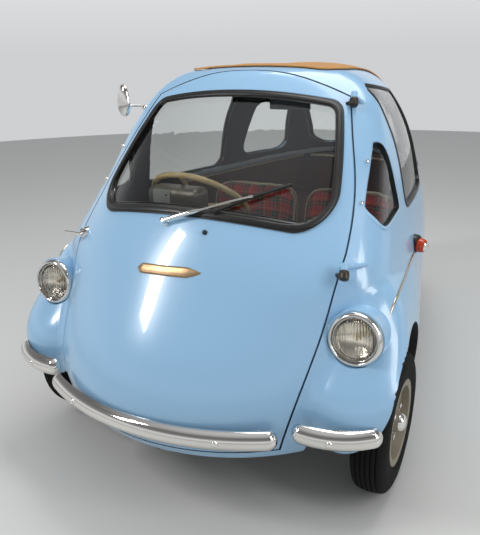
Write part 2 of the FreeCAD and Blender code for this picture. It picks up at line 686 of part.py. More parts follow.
# Half of a tyre's section as shares: across its width, and from bead to tread.
TYRE_SHARES = [(0.10, 0.0), (0.10, 0.135), (0.03, 0.27), (0.0, 0.5), (0.03, 0.74), (0.11, 0.92),
               (0.27, 0.985), (0.5, 1.0)]
tyre_rows = [("tyre_width * %s" % across,
              "bead_radius + (tyre_radius - bead_radius) * %s" % up) for across, up in TYRE_SHARES]
tyre_rows += [("tyre_width * (1 - %s)" % across,
               "bead_radius + (tyre_radius - bead_radius) * %s" % up)
              for across, up in reversed(TYRE_SHARES[:-1])]
WHEEL_ROWS = [
    ("4", "flange_radius"), ("tyre_width * 0.10 - panel_joint", "flange_radius"),
    ("tyre_width * 0.10 - panel_joint", "bead_radius - panel_joint"),
    ("tyre_width * 0.90 + panel_joint", "bead_radius - panel_joint"),
    ("tyre_width * 0.90 + panel_joint", "flange_radius"), ("tyre_width - 4", "flange_radius"),
    ("tyre_width - 6", "bead_radius - 8"), ("tyre_width * 0.74", "bead_radius - 14"),
    ("tyre_width * 0.70", "bead_radius - 34"), ("tyre_width * 0.82", "hub_radius + 20"),
    ("tyre_width * 0.80", "hub_radius"), ("tyre_width * 0.92", "hub_radius - 6"),
    ("tyre_width * 0.92", "axle_radius + running_gap"), ("20", "axle_radius + running_gap"),
    ("20", "drum_radius"), ("tyre_width * 0.58", "drum_radius"),
    ("tyre_width * 0.62", "bead_radius - 16"), ("6", "bead_radius - 8"),
]


def turned_body(name, rows, at):
    """Part design body turned about X: rows are (along, radius) in the sheet's words."""
    body = doc.addObject("PartDesign::Body", name)
    sketch = body.newObject("Sketcher::SketchObject", name + "_profile")
    plane = [f for f in body.Origin.OriginFeatures if f.Role == "XY_Plane"][0]
    sketch.AttachmentSupport = (plane, [""])
    sketch.MapMode = "FlatFace"
    count = len(rows)
    rough = [V(10 * math.cos(2 * math.pi * k / count) + 50, 10 * math.sin(2 * math.pi * k / count) + 90, 0)
             for k in range(count)]
    for index in range(count):
        sketch.addGeometry(Part.LineSegment(rough[index], rough[(index + 1) % count]), False)
    for index in range(count):
        sketch.addConstraint(Sketcher.Constraint("Coincident", index, 2, (index + 1) % count, 1))
    for index, (along, radius) in enumerate(rows):
        if along in ("0", "tyre_width * 0.0"):
            sketch.addConstraint(Sketcher.Constraint("PointOnObject", index, 1, -2))
        else:
            number = sketch.addConstraint(Sketcher.Constraint("DistanceX", -1, 1, index, 1, rough[index].x))
            sketch.setExpression("Constraints[%d]" % number, linked(along))
        number = sketch.addConstraint(Sketcher.Constraint("DistanceY", -1, 1, index, 1, rough[index].y))
        sketch.setExpression("Constraints[%d]" % number, linked(radius))
    doc.recompute()
    turn = body.newObject("PartDesign::Revolution", name + "_turn")
    turn.Profile = sketch
    turn.ReferenceAxis = (sketch, ["H_Axis"])
    turn.Angle = 360
    for axis, text in zip("xyz", at):
        body.setExpression(".Placement.Base." + axis, linked(str(text)))
    return body


wheel_places = {
    "front_left": ("track / 2 - tyre_width / 2", "-front_axle", "axle_height"),
    "rear": ("-tyre_width / 2", "rear_axle", "axle_height"),
}
tyres = {}
wheels = {}
for spot, at in wheel_places.items():
    tyres[spot] = turned_body("tyre_" + spot, tyre_rows, at)
    wheels[spot] = turned_body("wheel_" + spot, WHEEL_ROWS, at)
tyres["front_right"] = mirrored("tyre_front_right", tyres["front_left"])
wheels["front_right"] = mirrored("wheel_front_right", wheels["front_left"])

# Front axle: cross bar, upper arms and king-pins; knuckles, track rod.

kingpin_x = "track / 2 - kingpin_offset"
low_arm = "axle_height - knuckle_half - 2 - arm_thickness"
high_arm = "axle_height + knuckle_half + 2"
cross_bar = box("cross_bar", "2 * (%s + 10)" % kingpin_x, 36, "arm_thickness",
                ("-(%s) - 10" % kingpin_x, "-front_axle - 18", low_arm))
bar_feet = [box("bar_foot_%d" % side, 70, 60, "floor_height - (axle_height - knuckle_half - 2)",
                (260 * side - 35, "-front_axle - 30", "axle_height - knuckle_half - 2"))
            for side in (1, -1)]
upper_arm = box("upper_arm", "%s + 10 - well_inner" % kingpin_x, 36, "arm_thickness",
                ("well_inner", "-front_axle - 18", high_arm))
kingpin = cylinder("kingpin", "kingpin_radius", "2 * (knuckle_half + 2 + arm_thickness)",
                   (kingpin_x, "-front_axle", low_arm))
front_suspension = fuse("front_suspension", cross_bar, *bar_feet, upper_arm, kingpin,
                        mirrored("upper_arm_right", upper_arm), mirrored("kingpin_right", kingpin))

sleeve = cylinder("sleeve", "sleeve_radius", "2 * knuckle_half",
                  (kingpin_x, "-front_axle", "axle_height - knuckle_half"))
stub = cylinder("stub_axle", "axle_radius", "kingpin_offset + tyre_width / 2 - 4",
                (kingpin_x, "-front_axle", "axle_height"), X_AXIS)
steer_arm = box("steer_arm_left", 22, "steer_arm - sleeve_radius / 2", "arm_thickness",
                (kingpin_x + " - 29", "-front_axle + sleeve_radius / 2", "axle_height - 43"))
steer_eye = cylinder("steer_eye_left", "eye_radius", "arm_thickness",
                     (kingpin_x + " - 18", "-front_axle + steer_arm", "axle_height - 43"))
kingpin_bore = cylinder("kingpin_bore", "kingpin_radius + running_gap", "2 * knuckle_half + 20",
                        (kingpin_x, "-front_axle", "axle_height - knuckle_half - 10"))
knuckle_left = cut("knuckle_left", fuse("knuckle_blank", sleeve, stub, steer_arm, steer_eye), kingpin_bore)
knuckle_right = mirrored("knuckle_right", knuckle_left)

rod_z = "axle_height - 43 - panel_joint - 8"
track_tube = cylinder("track_tube", "rod_radius", "2 * (%s - 18)" % kingpin_x,
                      ("-(%s) + 18" % kingpin_x, "-front_axle + steer_arm", rod_z), X_AXIS)
rod_ends = [cylinder("rod_end_%d" % side, "eye_radius", 16,
                     ("%d * (%s - 18)" % (side, kingpin_x), "-front_axle + steer_arm", rod_z + " - 8"))
            for side in (1, -1)]
track_rod = fuse("track_rod", track_tube, *rod_ends)

# Rear axle: one swinging arm beside the wheel, with the axle in it.

swing = box("swing_box", 24, "rear_axle + 34 - 600", 50, (66, 600, "axle_height - 50"))
rear_axle = cylinder("rear_axle_pin", "axle_radius", "90 + tyre_width / 2 - 6",
                     ("-tyre_width / 2 + 6", "rear_axle", "axle_height"), X_AXIS)
swing_boss = cylinder("swing_boss", 34, 24, (66, "rear_axle", "axle_height"), X_AXIS)
pivot = box("swing_pivot", 180, 60, 40, (-90, 640, "floor_height - 40"))
rear_suspension = fuse("rear_suspension", swing, rear_axle, swing_boss, pivot)

# Steering: column from the floor, wheel, instrument pod, pedals.

lean = math.radians(size("column_lean"))
column_up = V(0, math.sin(lean), math.cos(lean))
hub = V(-size("column_x"), -size("hub_y"), size("hub_z"))
floor_top = size("floor_height") + size("floor_thickness")
column_length = (hub.z - floor_top) / math.cos(lean)
column_foot = hub - column_up * column_length
below = Part.makeBox(300, 300, 200, column_foot + V(-150, -150, -200))
tube = Part.makeCylinder(size("column_radius"), column_length + 40, column_foot - column_up * 40, column_up)
flange = Part.makeCylinder(45, 10, column_foot, Z_AXIS)
steering_column = solid("steering_column", tube.cut(below).fuse(flange))

rim_radius = size("wheel_rim_radius")
rim = Part.makeTorus(rim_radius, size("wheel_rim_section"), V(0, 0, 40), Z_AXIS)
wheel_hub = Part.makeCylinder(26, 30, V(0, 0, 1))
spokes = [Part.makeCylinder(7, rim_radius, V(0, 0, 16), V(x, y, 0.13))
          for x, y in ((1, 0), (-1, 0), (0, -1))]
steering_shape = wheel_hub.fuse(spokes + [rim])
steering_shape.Placement = FreeCAD.Placement(hub, FreeCAD.Rotation(Z_AXIS, column_up))
steering_wheel = solid("steering_wheel", steering_shape)

pod_corner = V(-size("pod_x") - size("pod_width") / 2, -size("pod_y") - size("pod_depth") / 2, size("pod_low"))
pod = Part.makeBox(size("pod_width"), size("pod_depth"), size("pod_height"), pod_corner)
pod = pod.makeFillet(22, pod.Edges)
clamp_y = -size("pod_y")
clamp_z = hub.z + (clamp_y - hub.y) / math.tan(lean)
stalk = Part.makeBox(40, 24, size("pod_low") - clamp_z + 10, V(hub.x - 20, clamp_y - 12, clamp_z))
collar = Part.makeCylinder(size("column_radius") + 8, 40, V(hub.x, clamp_y, clamp_z) - column_up * 20, column_up)
column_room = Part.makeCylinder(size("column_radius") + joint, column_length, column_foot, column_up)
instrument_pod = solid("instrument_pod", pod.fuse([stalk, collar]).cut(column_room))

pedal_shapes = []
for x in (-330, -235):
    foot_plate = Part.makeBox(52, 10, 62, V(x - 26, -945, floor_top + 70))
    pedal_arm = Part.makeBox(14, 10, 80, V(x - 7, -945, floor_top))
    pedal_shapes.append(foot_plate.fuse(pedal_arm))
pedals = solid("pedals", Part.makeCompound(pedal_shapes))

# Seats, shelf over the engine, engine, exhaust.

seat_frame = box("seat_frame", 800, "seat_front - 60", "seat_top - cushion_thickness - 254 - panel_joint",
                 (-400, "-seat_front + 20", 254))


def cushion(name, length, width, height, at, rounding):
    """Padded block: a box with every edge rounded."""
    block = box(name + "_block", length, width, height, at)
    doc.recompute()
    padded = doc.addObject("Part::Fillet", name)
    padded.Base = block
    padded.Edges = [(number, rounding, rounding) for number in range(1, 13)]
    return padded


seat_base = cushion("seat_base", "2 * seat_half_width", "seat_front + 40", "cushion_thickness",
                    ("-seat_half_width", "-seat_front", "seat_top - cushion_thickness"), 25)
doc.recompute()


def lowered_onto(shape, rest, clearance):
    """A shape moved down until it lies this far from the one below it."""
    for _ in range(4):
        shape.translate(V(0, 0, clearance - shape.distToShape(rest)[0]))
    return shape


back_lean = math.radians(size("back_lean"))
back_dip = size("back_thickness") * math.sin(back_lean)
back_width = size("seat_half_width") - size("seat_split") / 2 - 4
back_length = (size("back_height") - size("seat_top") - back_dip) / math.cos(back_lean)
back_block = Part.makeBox(back_width, size("back_thickness"), back_length)
back_block = back_block.makeFillet(24, back_block.Edges)
back_block.Placement = FreeCAD.Placement(
    V(size("seat_split") / 2, -size("seat_rear"), size("seat_top") + back_dip + 10),
    FreeCAD.Rotation(X_AXIS, -size("back_lean")))
back_block = lowered_onto(back_block, seat_base.Shape, joint)
seat_backs = pair("seat_backs", solid("seat_back_left", back_block))

thick = size("shelf_thickness")
shelf_top = size("shelf_height")
ledge = 800
riser = 860
shelf_start = size("shelf_front")
SHELF = [(shelf_start, floor_top), (shelf_start, shelf_top), (riser, shelf_top), (riser, ledge),
         (1250, ledge), (1250, ledge - thick), (riser + thick, ledge - thick),
         (riser + thick, shelf_top - thick), (shelf_start + thick, shelf_top - thick),
         (shelf_start + thick, floor_top)]
shelf_points = [V(-700, y, z) for y, z in SHELF]
shelf_face = Part.Face(Part.makePolygon(shelf_points + shelf_points[:1]))
rear_shelf = solid("rear_shelf", shelf_face.extrude(V(1400, 0, 0)).common(tight).cut(house_rooms[2]))
engine_block = box("engine_block", "engine_width", "engine_length", "engine_height",
                   ("-engine_width / 2", "engine_front", 254))
silencer = cylinder("silencer", 40, 300, (-225, 420, 190), Y_AXIS)
tail_pipe = cylinder("tail_pipe", 13, 430, (-225, 700, 190), Y_AXIS)
hangers = [box("hanger_%d" % y, 20, 12, 50, (-235, y, "floor_height - 50")) for y in (470, 650)]
exhaust = fuse("exhaust", silencer, tail_pipe, *hangers)

doc.recompute()

SUB_PARTS = [
    body_shell, floor_pan, fabric_roof, side_windows, rear_window, body_hinges, wing_bumpers,
    rear_bumper, headlamp_bowls, headlamp_lenses, indicator_lamps, tail_lamps, number_plate,
    door_mirror, seat_frame, seat_base, seat_backs, rear_shelf, steering_column, instrument_pod,
    pedals, engine_block, exhaust, front_suspension, rear_suspension, door_panel, windscreen,
    windscreen_seal, door_bumper, door_hinges, door_handle, wiper, interior_mirror, engine_lid,
    knuckle_left, knuckle_right, track_rod, steering_wheel, *tyres.values(), *wheels.values(),
]

os.makedirs("parts", exist_ok=True)
failed = [thing.Name for thing in doc.Objects if {"Invalid", "Error"} & set(thing.State)]
for thing in SUB_PARTS:
    thing.Label = thing.Name
    if thing.Shape.isNull() or not thing.Shape.isValid() or not thing.Shape.Solids:
        failed.append(thing.Label)
if failed:
    raise RuntimeError("these did not build: " + ", ".join(failed))
for thing in SUB_PARTS:
    thing.Shape.exportStep("parts/%s.step" % thing.Label)
print(len(SUB_PARTS), "sub-parts written")
print("lid hinge at y %.1f" % lid_hinge_y)
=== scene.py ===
import json
import math
import bpy
import numpy as np
from mathutils import Matrix, Vector
from mathutils.bvhtree import BVHTree

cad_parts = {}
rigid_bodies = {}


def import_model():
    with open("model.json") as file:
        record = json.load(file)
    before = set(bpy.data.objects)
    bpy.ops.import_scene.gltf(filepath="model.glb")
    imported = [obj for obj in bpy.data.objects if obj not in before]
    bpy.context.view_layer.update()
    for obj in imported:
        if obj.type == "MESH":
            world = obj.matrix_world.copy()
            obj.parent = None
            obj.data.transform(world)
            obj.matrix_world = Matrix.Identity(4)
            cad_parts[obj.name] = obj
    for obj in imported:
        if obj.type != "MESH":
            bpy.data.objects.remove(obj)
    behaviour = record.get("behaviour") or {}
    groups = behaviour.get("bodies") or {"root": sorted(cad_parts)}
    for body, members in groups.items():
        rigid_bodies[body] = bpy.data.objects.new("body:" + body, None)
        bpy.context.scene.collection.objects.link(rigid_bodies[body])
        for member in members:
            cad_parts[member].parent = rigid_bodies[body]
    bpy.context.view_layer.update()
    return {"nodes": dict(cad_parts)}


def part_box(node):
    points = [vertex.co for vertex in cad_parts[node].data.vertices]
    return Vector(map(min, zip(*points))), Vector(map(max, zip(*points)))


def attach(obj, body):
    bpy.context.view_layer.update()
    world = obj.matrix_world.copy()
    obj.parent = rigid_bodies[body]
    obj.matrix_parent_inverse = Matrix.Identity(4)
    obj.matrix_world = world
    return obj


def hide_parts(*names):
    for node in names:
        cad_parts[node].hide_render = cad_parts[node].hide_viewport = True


# The frame. The car stands with its nose to -Y and its left side to +X; all sizes are in metres.

for leftover in list(bpy.data.objects):
    bpy.data.objects.remove(leftover)
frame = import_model()
nodes = frame["nodes"]

# Finishes. Each material is Blender's own shader fed by noise, waves and ramps, with no picture.


def feed(node, inputs):
    """Give a shader node's inputs their values; an input given a socket is linked to it."""
    for key, value in inputs.items():
        if isinstance(value, bpy.types.NodeSocket):
            node.id_data.links.new(value, node.inputs[key])
        else:
            node.inputs[key].default_value = value
    return node


def grow(tree, kind, inputs=None, **settings):
    """New shader node of a kind, its settings made and its inputs fed."""
    node = tree.nodes.new("ShaderNode" + kind)
    for key, value in settings.items():
        setattr(node, key, value)
    return feed(node, inputs or {})


def maths(tree, operation, first, second=0.5):
    """Output of a maths node over two values or sockets; some operations use only the first."""
    return grow(tree, "Math", {0: first, 1: second}, operation=operation).outputs[0]


def ramped(tree, source, stops, interpolation="LINEAR"):
    """Colours by a source's value, from (value, colour) stops."""
    node = grow(tree, "ValToRGB", {"Fac": source})
    node.color_ramp.interpolation = interpolation
    elements = node.color_ramp.elements
    while len(elements) < len(stops):
        elements.new(0.5)
    for element, (place, colour) in zip(elements, stops):
        element.position = place
        element.color = (*colour, 1)
    return node.outputs["Color"]


def waves(tree, direction, scale, distortion=0.0):
    """Even bands across one axis of the piece."""
    place = grow(tree, "TexCoord").outputs["Object"]
    return grow(tree, "TexWave", {"Vector": place, "Scale": scale, "Distortion": distortion},
                bands_direction=direction).outputs["Fac"]


def shader_of(made):
    """A material's main shader."""
    return made.node_tree.nodes["Principled BSDF"]


def plain(name, inputs):
    """Material with fixed shader values."""
    made = bpy.data.materials.new(name)
    made.use_nodes = True
    feed(shader_of(made), inputs)
    return made


def bumped(made, height, strength, distance):
    """Relief: the material's normal follows a height."""
    relief = {"Height": height, "Strength": strength, "Distance": distance}
    feed(shader_of(made), {"Normal": grow(made.node_tree, "Bump", relief).outputs["Normal"]})


def finish_of(name, colour, shade, roughness, metallic=0, mottle=3, grain=0.0, grain_size=400,
              coat=0.0, spread=0.06):
    """Material whose colour drifts between two tones by noise, with varied gloss and fine grain."""
    made = plain(name, {"Metallic": metallic, "Coat Weight": coat, "Coat Roughness": 0.04})
    tree = made.node_tree
    place = grow(tree, "TexCoord").outputs["Object"]
    cloud = grow(tree, "TexNoise", {"Vector": place, "Scale": mottle, "Detail": 4}).outputs["Fac"]
    shaded = [channel * shade for channel in colour]
    tones = grow(tree, "Mix", {"Factor": cloud, "A": (*colour, 1), "B": (*shaded, 1)},
                 data_type="RGBA").outputs["Result"]
    gloss = grow(tree, "MapRange", {"Value": cloud, "To Min": max(roughness - spread, 0.02),
                                    "To Max": roughness + spread}).outputs["Result"]
    feed(shader_of(made), {"Base Color": tones, "Roughness": gloss})
    if grain:
        fine = grow(tree, "TexNoise", {"Vector": place, "Scale": grain_size, "Detail": 3})
        bumped(made, fine.outputs["Fac"], grain, 0.001)
    return made


def wear(made, *pieces):
    """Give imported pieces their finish."""
    for each in pieces:
        nodes[each].data.materials.clear()
        nodes[each].data.materials.append(made)


# Shapes. Closed surfaces turned about an axis or carried along a line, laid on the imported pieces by
# lines thrown at them.

Z_UP = np.array([0.0, 0.0, 1.0])
FULL_TURN = 2 * np.pi
searched = {}


def unit(vectors):
    """Vectors at length one."""
    vectors = np.asarray(vectors, float)
    return vectors / np.linalg.norm(vectors, axis=-1, keepdims=True)


def angles(count):
    """Angles evenly spaced round a full turn."""
    return np.linspace(0, FULL_TURN, count, endpoint=False)


def bulged(values, power):
    """Values raised to a power, their signs kept."""
    return np.sign(values) * np.abs(values) ** power


def places(x, y, z):
    """Points from coordinates that are arrays or single values."""
    return np.stack(np.broadcast_arrays(x, y, z), -1)


def rows(items, name, kind=float):
    """A property with three numbers of a mesh's vertices, faces or corners, as rows."""
    flat = np.empty(len(items) * 3, kind)
    items.foreach_get(name, flat)
    return flat.reshape(-1, 3)


def triangles(group):
    """Search tree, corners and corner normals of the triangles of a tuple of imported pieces."""
    if group not in searched:
        corner_sets, normal_sets = [], []
        for one in group:
            mesh = nodes[one].data
            mesh.calc_loop_triangles()
            facets = mesh.loop_triangles
            corner_sets.append(rows(mesh.vertices, "co")[rows(facets, "vertices", np.int64)])
            normal_sets.append(rows(mesh.corner_normals, "vector")[rows(facets, "loops", np.int64)])
        corners, normals = np.concatenate(corner_sets), np.concatenate(normal_sets)
        index = np.arange(len(corners) * 3).reshape(-1, 3)
        tree = BVHTree.FromPolygons(corners.reshape(-1, 3).tolist(), index.tolist())
        searched[group] = tree, corners, normals
    return searched[group]


def cast(starts, directions, node):
    """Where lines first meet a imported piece, or the nearest of several, and its smooth normal there.
    The tree finds each line's triangle; the line is then solved against it for its share of the
    triangle's two edges and its own length. A single line gives a single place and normal."""
    single = np.ndim(starts) == 1
    starts = np.atleast_2d(np.array(starts, float))
    directions = np.broadcast_to(unit(directions), starts.shape)
    tree, corners, normals = triangles((node,) if isinstance(node, str) else node)
    found = [tree.ray_cast(*line)[2] for line in zip(starts.tolist(), directions.tolist())]
    if None in found:
        raise ValueError("%d lines miss %s" % (found.count(None), node))
    corners, normals = corners[found], normals[found]
    first, second = corners[:, 1] - corners[:, 0], corners[:, 2] - corners[:, 0]
    across = np.cross(directions, second)
    scale = (across * first).sum(1)
    offset = starts - corners[:, 0]
    other = np.cross(offset, first)
    u = (offset * across).sum(1) / scale
    v = (directions * other).sum(1) / scale
    length = (second * other).sum(1) / scale
    mixed = np.stack([1 - u - v, u, v], 1)[:, :, None] * normals
    spots, normals = starts + directions * length[:, None], unit(mixed.sum(1))
    return (spots[0], normals[0]) if single else (spots, normals)


def from_front(x, z, node):
    """What lines thrown from ahead of the car meet."""
    return cast(places(x, -2.0, z), (0, 1, 0), node)


def from_behind(x, z, node):
    """What lines thrown from behind the car meet."""
    return cast(places(x, 1.6, z), (0, -1, 0), node)


def from_side(side, y, z, node):
    """What lines thrown at one side of the car meet."""
    return cast(places(side * 1.5, y, z), (-side, 0, 0), node)


def resampled(line, count, closed=False):
    """Points evenly spaced along a line, or all round it."""
    if closed:
        line = np.vstack([line, line[:1]])
    length = np.concatenate([[0], np.linalg.norm(np.diff(line, axis=0), axis=1).cumsum()])
    stations = np.linspace(0, length[-1], count, endpoint=not closed)
    return np.stack([np.interp(stations, length, column) for column in line.T], 1)


def softened(points, rounds=2, closed=False):
    """Line with its corners cut at a quarter and three quarters of each run, a few times over."""
    points = np.array(points, float)
    for _ in range(rounds):
        here, after = (points, np.roll(points, -1, 0)) if closed else (points[:-1], points[1:])
        cut = np.stack([0.75 * here + 0.25 * after, 0.25 * here + 0.75 * after], 1)
        cut = cut.reshape(-1, points.shape[-1])
        points = cut if closed else np.vstack([points[:1], cut[1:-1], points[-1:]])
    return points


def mirrored(half):
    """Section completed by its mirror image."""
    return half + [(-x, y) for x, y in half[::-1] if x]


def circle(radius, count=12):
    """Points round a circle."""
    turn = angles(count)
    return np.stack([radius * np.cos(turn), radius * np.sin(turn)], 1)


def rounded_bar(width, height, count=5):
    """Closed section of a bar: a flat foot at y = 0 and a crown with rounded shoulders."""
    turn = np.linspace(0, np.pi, 2 * count + 1)
    crown = np.stack([bulged(np.cos(turn), 0.6) * width / 2, np.sin(turn) ** 0.6 * height], 1)
    return np.vstack([crown, [[-width / 2, -height / 3], [width / 2, -height / 3]]])


def rounded(corners, radii, count=120):
    """Closed outline, evenly spaced: each corner a circular arc between its tangent points."""
    points = np.array(corners, float)
    radii = np.array(radii, float)
    back = unit(np.roll(points, 1, 0) - points)
    onward = unit(np.roll(points, -1, 0) - points)
    half = np.arccos((back * onward).sum(1)) / 2
    middle = points + unit(back + onward) * (radii / np.sin(half))[:, None]
    first = unit(points + back * (radii / np.tan(half))[:, None] - middle)[:, None]
    last = unit(points + onward * (radii / np.tan(half))[:, None] - middle)[:, None]
    sweep = np.arccos((first * last).sum(2))[..., None]
    share = np.linspace(0, 1, 12)[None, :, None]
    turn = (np.sin((1 - share) * sweep) * first + np.sin(share * sweep) * last) / np.sin(sweep)
    loop = middle[:, None] + radii[:, None, None] * turn
    return resampled(loop.reshape(-1, 2), count, closed=True)


def oblong(low, high, radius, count=64):
    """Rounded outline of an upright rectangle between two corners."""
    (left, foot), (right, top) = low, high
    return rounded([(left, foot), (right, foot), (right, top), (left, top)], [radius] * 4, count)


def slab(outline, near, far):
    """Plate with an outline seen along Y, between two distances."""
    return np.stack([places(outline[:, 0], y, outline[:, 1]) for y in (near, far)]), False


def tapered(count, run, least):
    """Scale along a line that shrinks to its two ends over a run of points."""
    steps = np.arange(count)
    return np.sqrt(np.clip(np.minimum(steps, steps[::-1]) / run, least, 1))


def carried(path, up, profile, closed=False, scale=None):
    """Profile carried along a path: its x runs sideways, square to the path, its y along up."""
    path = np.array(path, float)
    tangent = np.roll(path, -1, 0) - np.roll(path, 1, 0) if closed else np.gradient(path, axis=0)
    tangent = unit(tangent)
    sideways = unit(np.cross(tangent, np.broadcast_to(up, path.shape)))
    upward = np.cross(sideways, tangent)
    size = np.ones(len(path)) if scale is None else scale
    spread = np.array(profile, float)[None] * size[:, None, None]
    grid = path[:, None] + spread[..., :1] * sideways[:, None] + spread[..., 1:] * upward[:, None]
    return grid, closed


def lathe(profile, centre, direction, steps=48, ring=False):
    """Surface of revolution: profile rows are (along the axis, radius), turned round the direction.
    The profile of a ring is closed and doesn't reach the axis."""
    direction = unit(direction)
    helper = Z_UP if abs(direction[2]) < 0.9 else np.array([1.0, 0, 0])
    first = unit(np.cross(helper, direction))
    second = np.cross(direction, first)
    turn = angles(steps)
    spokes = np.cos(turn)[:, None] * first + np.sin(turn)[:, None] * second
    profile = np.array(profile, float)
    grid = (np.array(centre, float) + profile[:, None, :1] * direction
            + profile[:, None, 1:] * spokes[None])
    return (grid.transpose(1, 0, 2), True) if ring else (grid, False)


def added(name, data):
    """New object in the scene."""
    thing = bpy.data.objects.new(name, data)
    bpy.context.scene.collection.objects.link(thing)
    return thing


def piece(name, grids, body, made, instead=(), sharp=40):
    """One object of closed surfaces. Each grid holds rings of points, joined ring to ring; the first
    and last rings are closed by a cap, unless the grid comes round to its start. A surface that
    encloses a negative volume is turned over."""
    points, faces = [], []
    base = 0
    for grid, closed in grids:
        flat = grid.reshape(-1, 3)
        index = np.arange(len(flat)).reshape(grid.shape[:2])
        beside = np.roll(index, -1, 1)
        here, near = (index, beside) if closed else (index[:-1], beside[:-1])
        above, far = ((np.roll(index, -1, 0), np.roll(beside, -1, 0)) if closed
                      else (index[1:], beside[1:]))
        quads = np.stack([here, near, far, above], -1).reshape(-1, 4)
        surface = quads.tolist()
        middle = flat - flat.mean(0)
        a, b, c, d = (middle[quads[:, k]] for k in range(4))
        volume = (a * np.cross(b, c)).sum() + (a * np.cross(c, d)).sum()
        if not closed:
            for ring, sign in ((middle[index[0]], -1), (middle[index[-1]], 1)):
                volume += sign * (ring[0] * np.cross(ring[1:-1], ring[2:])).sum()
            surface += [index[0][::-1].tolist(), index[-1].tolist()]
        turn = -1 if volume < 0 else 1
        faces += [[base + corner for corner in face[::turn]] for face in surface]
        points.append(flat)
        base += len(flat)
    mesh = bpy.data.meshes.new(name)
    mesh.from_pydata(np.vstack(points).tolist(), [], faces)
    mesh.shade_smooth()
    mesh.set_sharp_from_angle(angle=math.radians(sharp))
    mesh.materials.append(made)
    thing = added(name, mesh)
    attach(thing, body)
    if instead:
        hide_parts(*instead)
    return thing


# The set. A pale studio floor and soft light, and the camera where the photograph was taken.

CAMERA_AZIMUTH = 27.3
CAMERA_ELEVATION = 19.4
CAMERA_ROLL = -0.985
CAMERA_PLACE = Vector((0.9807, -2.4663, 1.3616))
FOCAL_PIXELS = 610.0
PICTURE_HEIGHT = 535
FLOOR_RADIUS = 9
WALL_GREYS = ((0.0, 0.62), (0.16, 0.8), (0.42, 0.22), (0.7, 0.16), (1.0, 0.6))


def studio_camera():
    """Camera turned by azimuth about Z, elevation down, and roll about its own view line."""
    lens = bpy.data.cameras.new("camera")
    lens.sensor_width = 36
    lens.lens = FOCAL_PIXELS / PICTURE_HEIGHT * lens.sensor_width
    lens.clip_end = 60
    camera = added("camera", lens)
    turn = Matrix.Rotation(math.radians(CAMERA_AZIMUTH), 4, "Z")
    tilt = Matrix.Rotation(math.radians(90 - CAMERA_ELEVATION), 4, "X")
    roll = Matrix.Rotation(math.radians(CAMERA_ROLL), 4, "Z")
    camera.matrix_world = Matrix.Translation(CAMERA_PLACE) @ turn @ tilt @ roll
    bpy.context.scene.camera = camera


def soft_box(name, place, aim, width, height, watts):
    """Rectangular lamp at a place, facing a point."""
    lamp = bpy.data.lights.new(name, "AREA")
    lamp.shape = "RECTANGLE"
    lamp.size = width
    lamp.size_y = height
    lamp.energy = watts
    holder = added(name, lamp)
    holder.location = place
    holder.rotation_euler = (Vector(aim) - Vector(place)).to_track_quat("-Z", "Y").to_euler()


def studio_world():
    """Even fill light; camera, mirror and glass rays see a pale backdrop with a dark upper wall."""
    world = bpy.data.worlds.new("studio")
    bpy.context.scene.world = world
    world.use_nodes = True
    tree = world.node_tree
    tree.nodes.clear()
    fill = grow(tree, "Background", {"Color": (0.93, 0.96, 1.0, 1), "Strength": 0.52})
    place = grow(tree, "TexCoord").outputs["Generated"]
    height = grow(tree, "SeparateXYZ", {0: place}).outputs["Z"]
    wall = ramped(tree, height, [(at, (grey, grey * 1.01, grey * 1.03)) for at, grey in WALL_GREYS])
    seen = grow(tree, "Background", {"Color": wall})
    rays = grow(tree, "LightPath").outputs
    shown = maths(tree, "MAXIMUM", rays["Is Camera Ray"], rays["Is Glossy Ray"])
    shown = maths(tree, "MAXIMUM", shown, rays["Is Transmission Ray"])
    mix = grow(tree, "MixShader", {0: shown, 1: fill.outputs[0], 2: seen.outputs[0]})
    grow(tree, "OutputWorld", {"Surface": mix.outputs[0]})


def studio_floor():
    """Large pale disc under the tyres."""
    rim = circle(FLOOR_RADIUS, 96)
    mesh = bpy.data.meshes.new("floor")
    mesh.from_pydata(places(rim[:, 0], rim[:, 1], -0.0015).tolist(), [], [list(range(len(rim)))])
    paint = plain("floor_paint", {"Base Color": (0.6, 0.6, 0.58, 1), "Roughness": 0.55})
    mesh.materials.append(paint)
    floor = added("floor", mesh)


studio_camera()
studio_world()
studio_floor()
soft_box("key", (-2.6, -3.4, 3.6), (0, -0.4, 0.5), 0.5, 1.5, 90)
soft_box("side", (3.6, -1.2, 2.6), (0, 0, 0.6), 0.8, 2.4, 50)
soft_box("top", (0.3, 0.6, 4.2), (0, 0, 0.6), 2.6, 1.6, 62)
bpy.context.scene.view_settings.view_transform = "Standard"

# The painted shell. Pressed steel skins in one glossy sky-blue coat, polished over many years, so
# the colour drifts a little from panel to panel and the gloss is a little soft.

SKY_BLUE = (0.3, 0.51, 0.725)
EGG_MIDDLE = (0, 0, 0.68)
EGG_HALF = np.array([0.6, 1.24, 0.66])
SILL_HEIGHT = 0.83
FRONT_WELL, FRONT_WELL_X = (-0.74, 0.285, 0.2815), 0.4285
REAR_WELL, REAR_WELL_X = (1.02, 0.233, 0.2635), 0.1015

body_paint = finish_of("sky_blue_paint", SKY_BLUE, 0.93, 0.22, mottle=2, coat=0.35, grain=0.02,
                       grain_size=40, spread=0.05)
# A darkened copy of the sky blue: painted shade on the shell's inner faces, and the interior mirror's
# own dark housing.
dark_blue_and_painted_shade = finish_of("dark_blue_and_painted_shade", (0.035, 0.05, 0.068), 0.7, 0.45, mottle=6, grain=0.1)
underseal = finish_of("underseal", (0.02, 0.02, 0.021), 1.6, 0.8, mottle=20, grain=0.6)


def roll_edges(made, radius):
    """Shade the last 2 mm beside each pressed edge as if it were rolled over."""
    soft = grow(made.node_tree, "Bevel", {"Radius": radius}, samples=4)
    feed(made.node_tree.nodes["Bump"], {"Normal": soft.outputs["Normal"]})


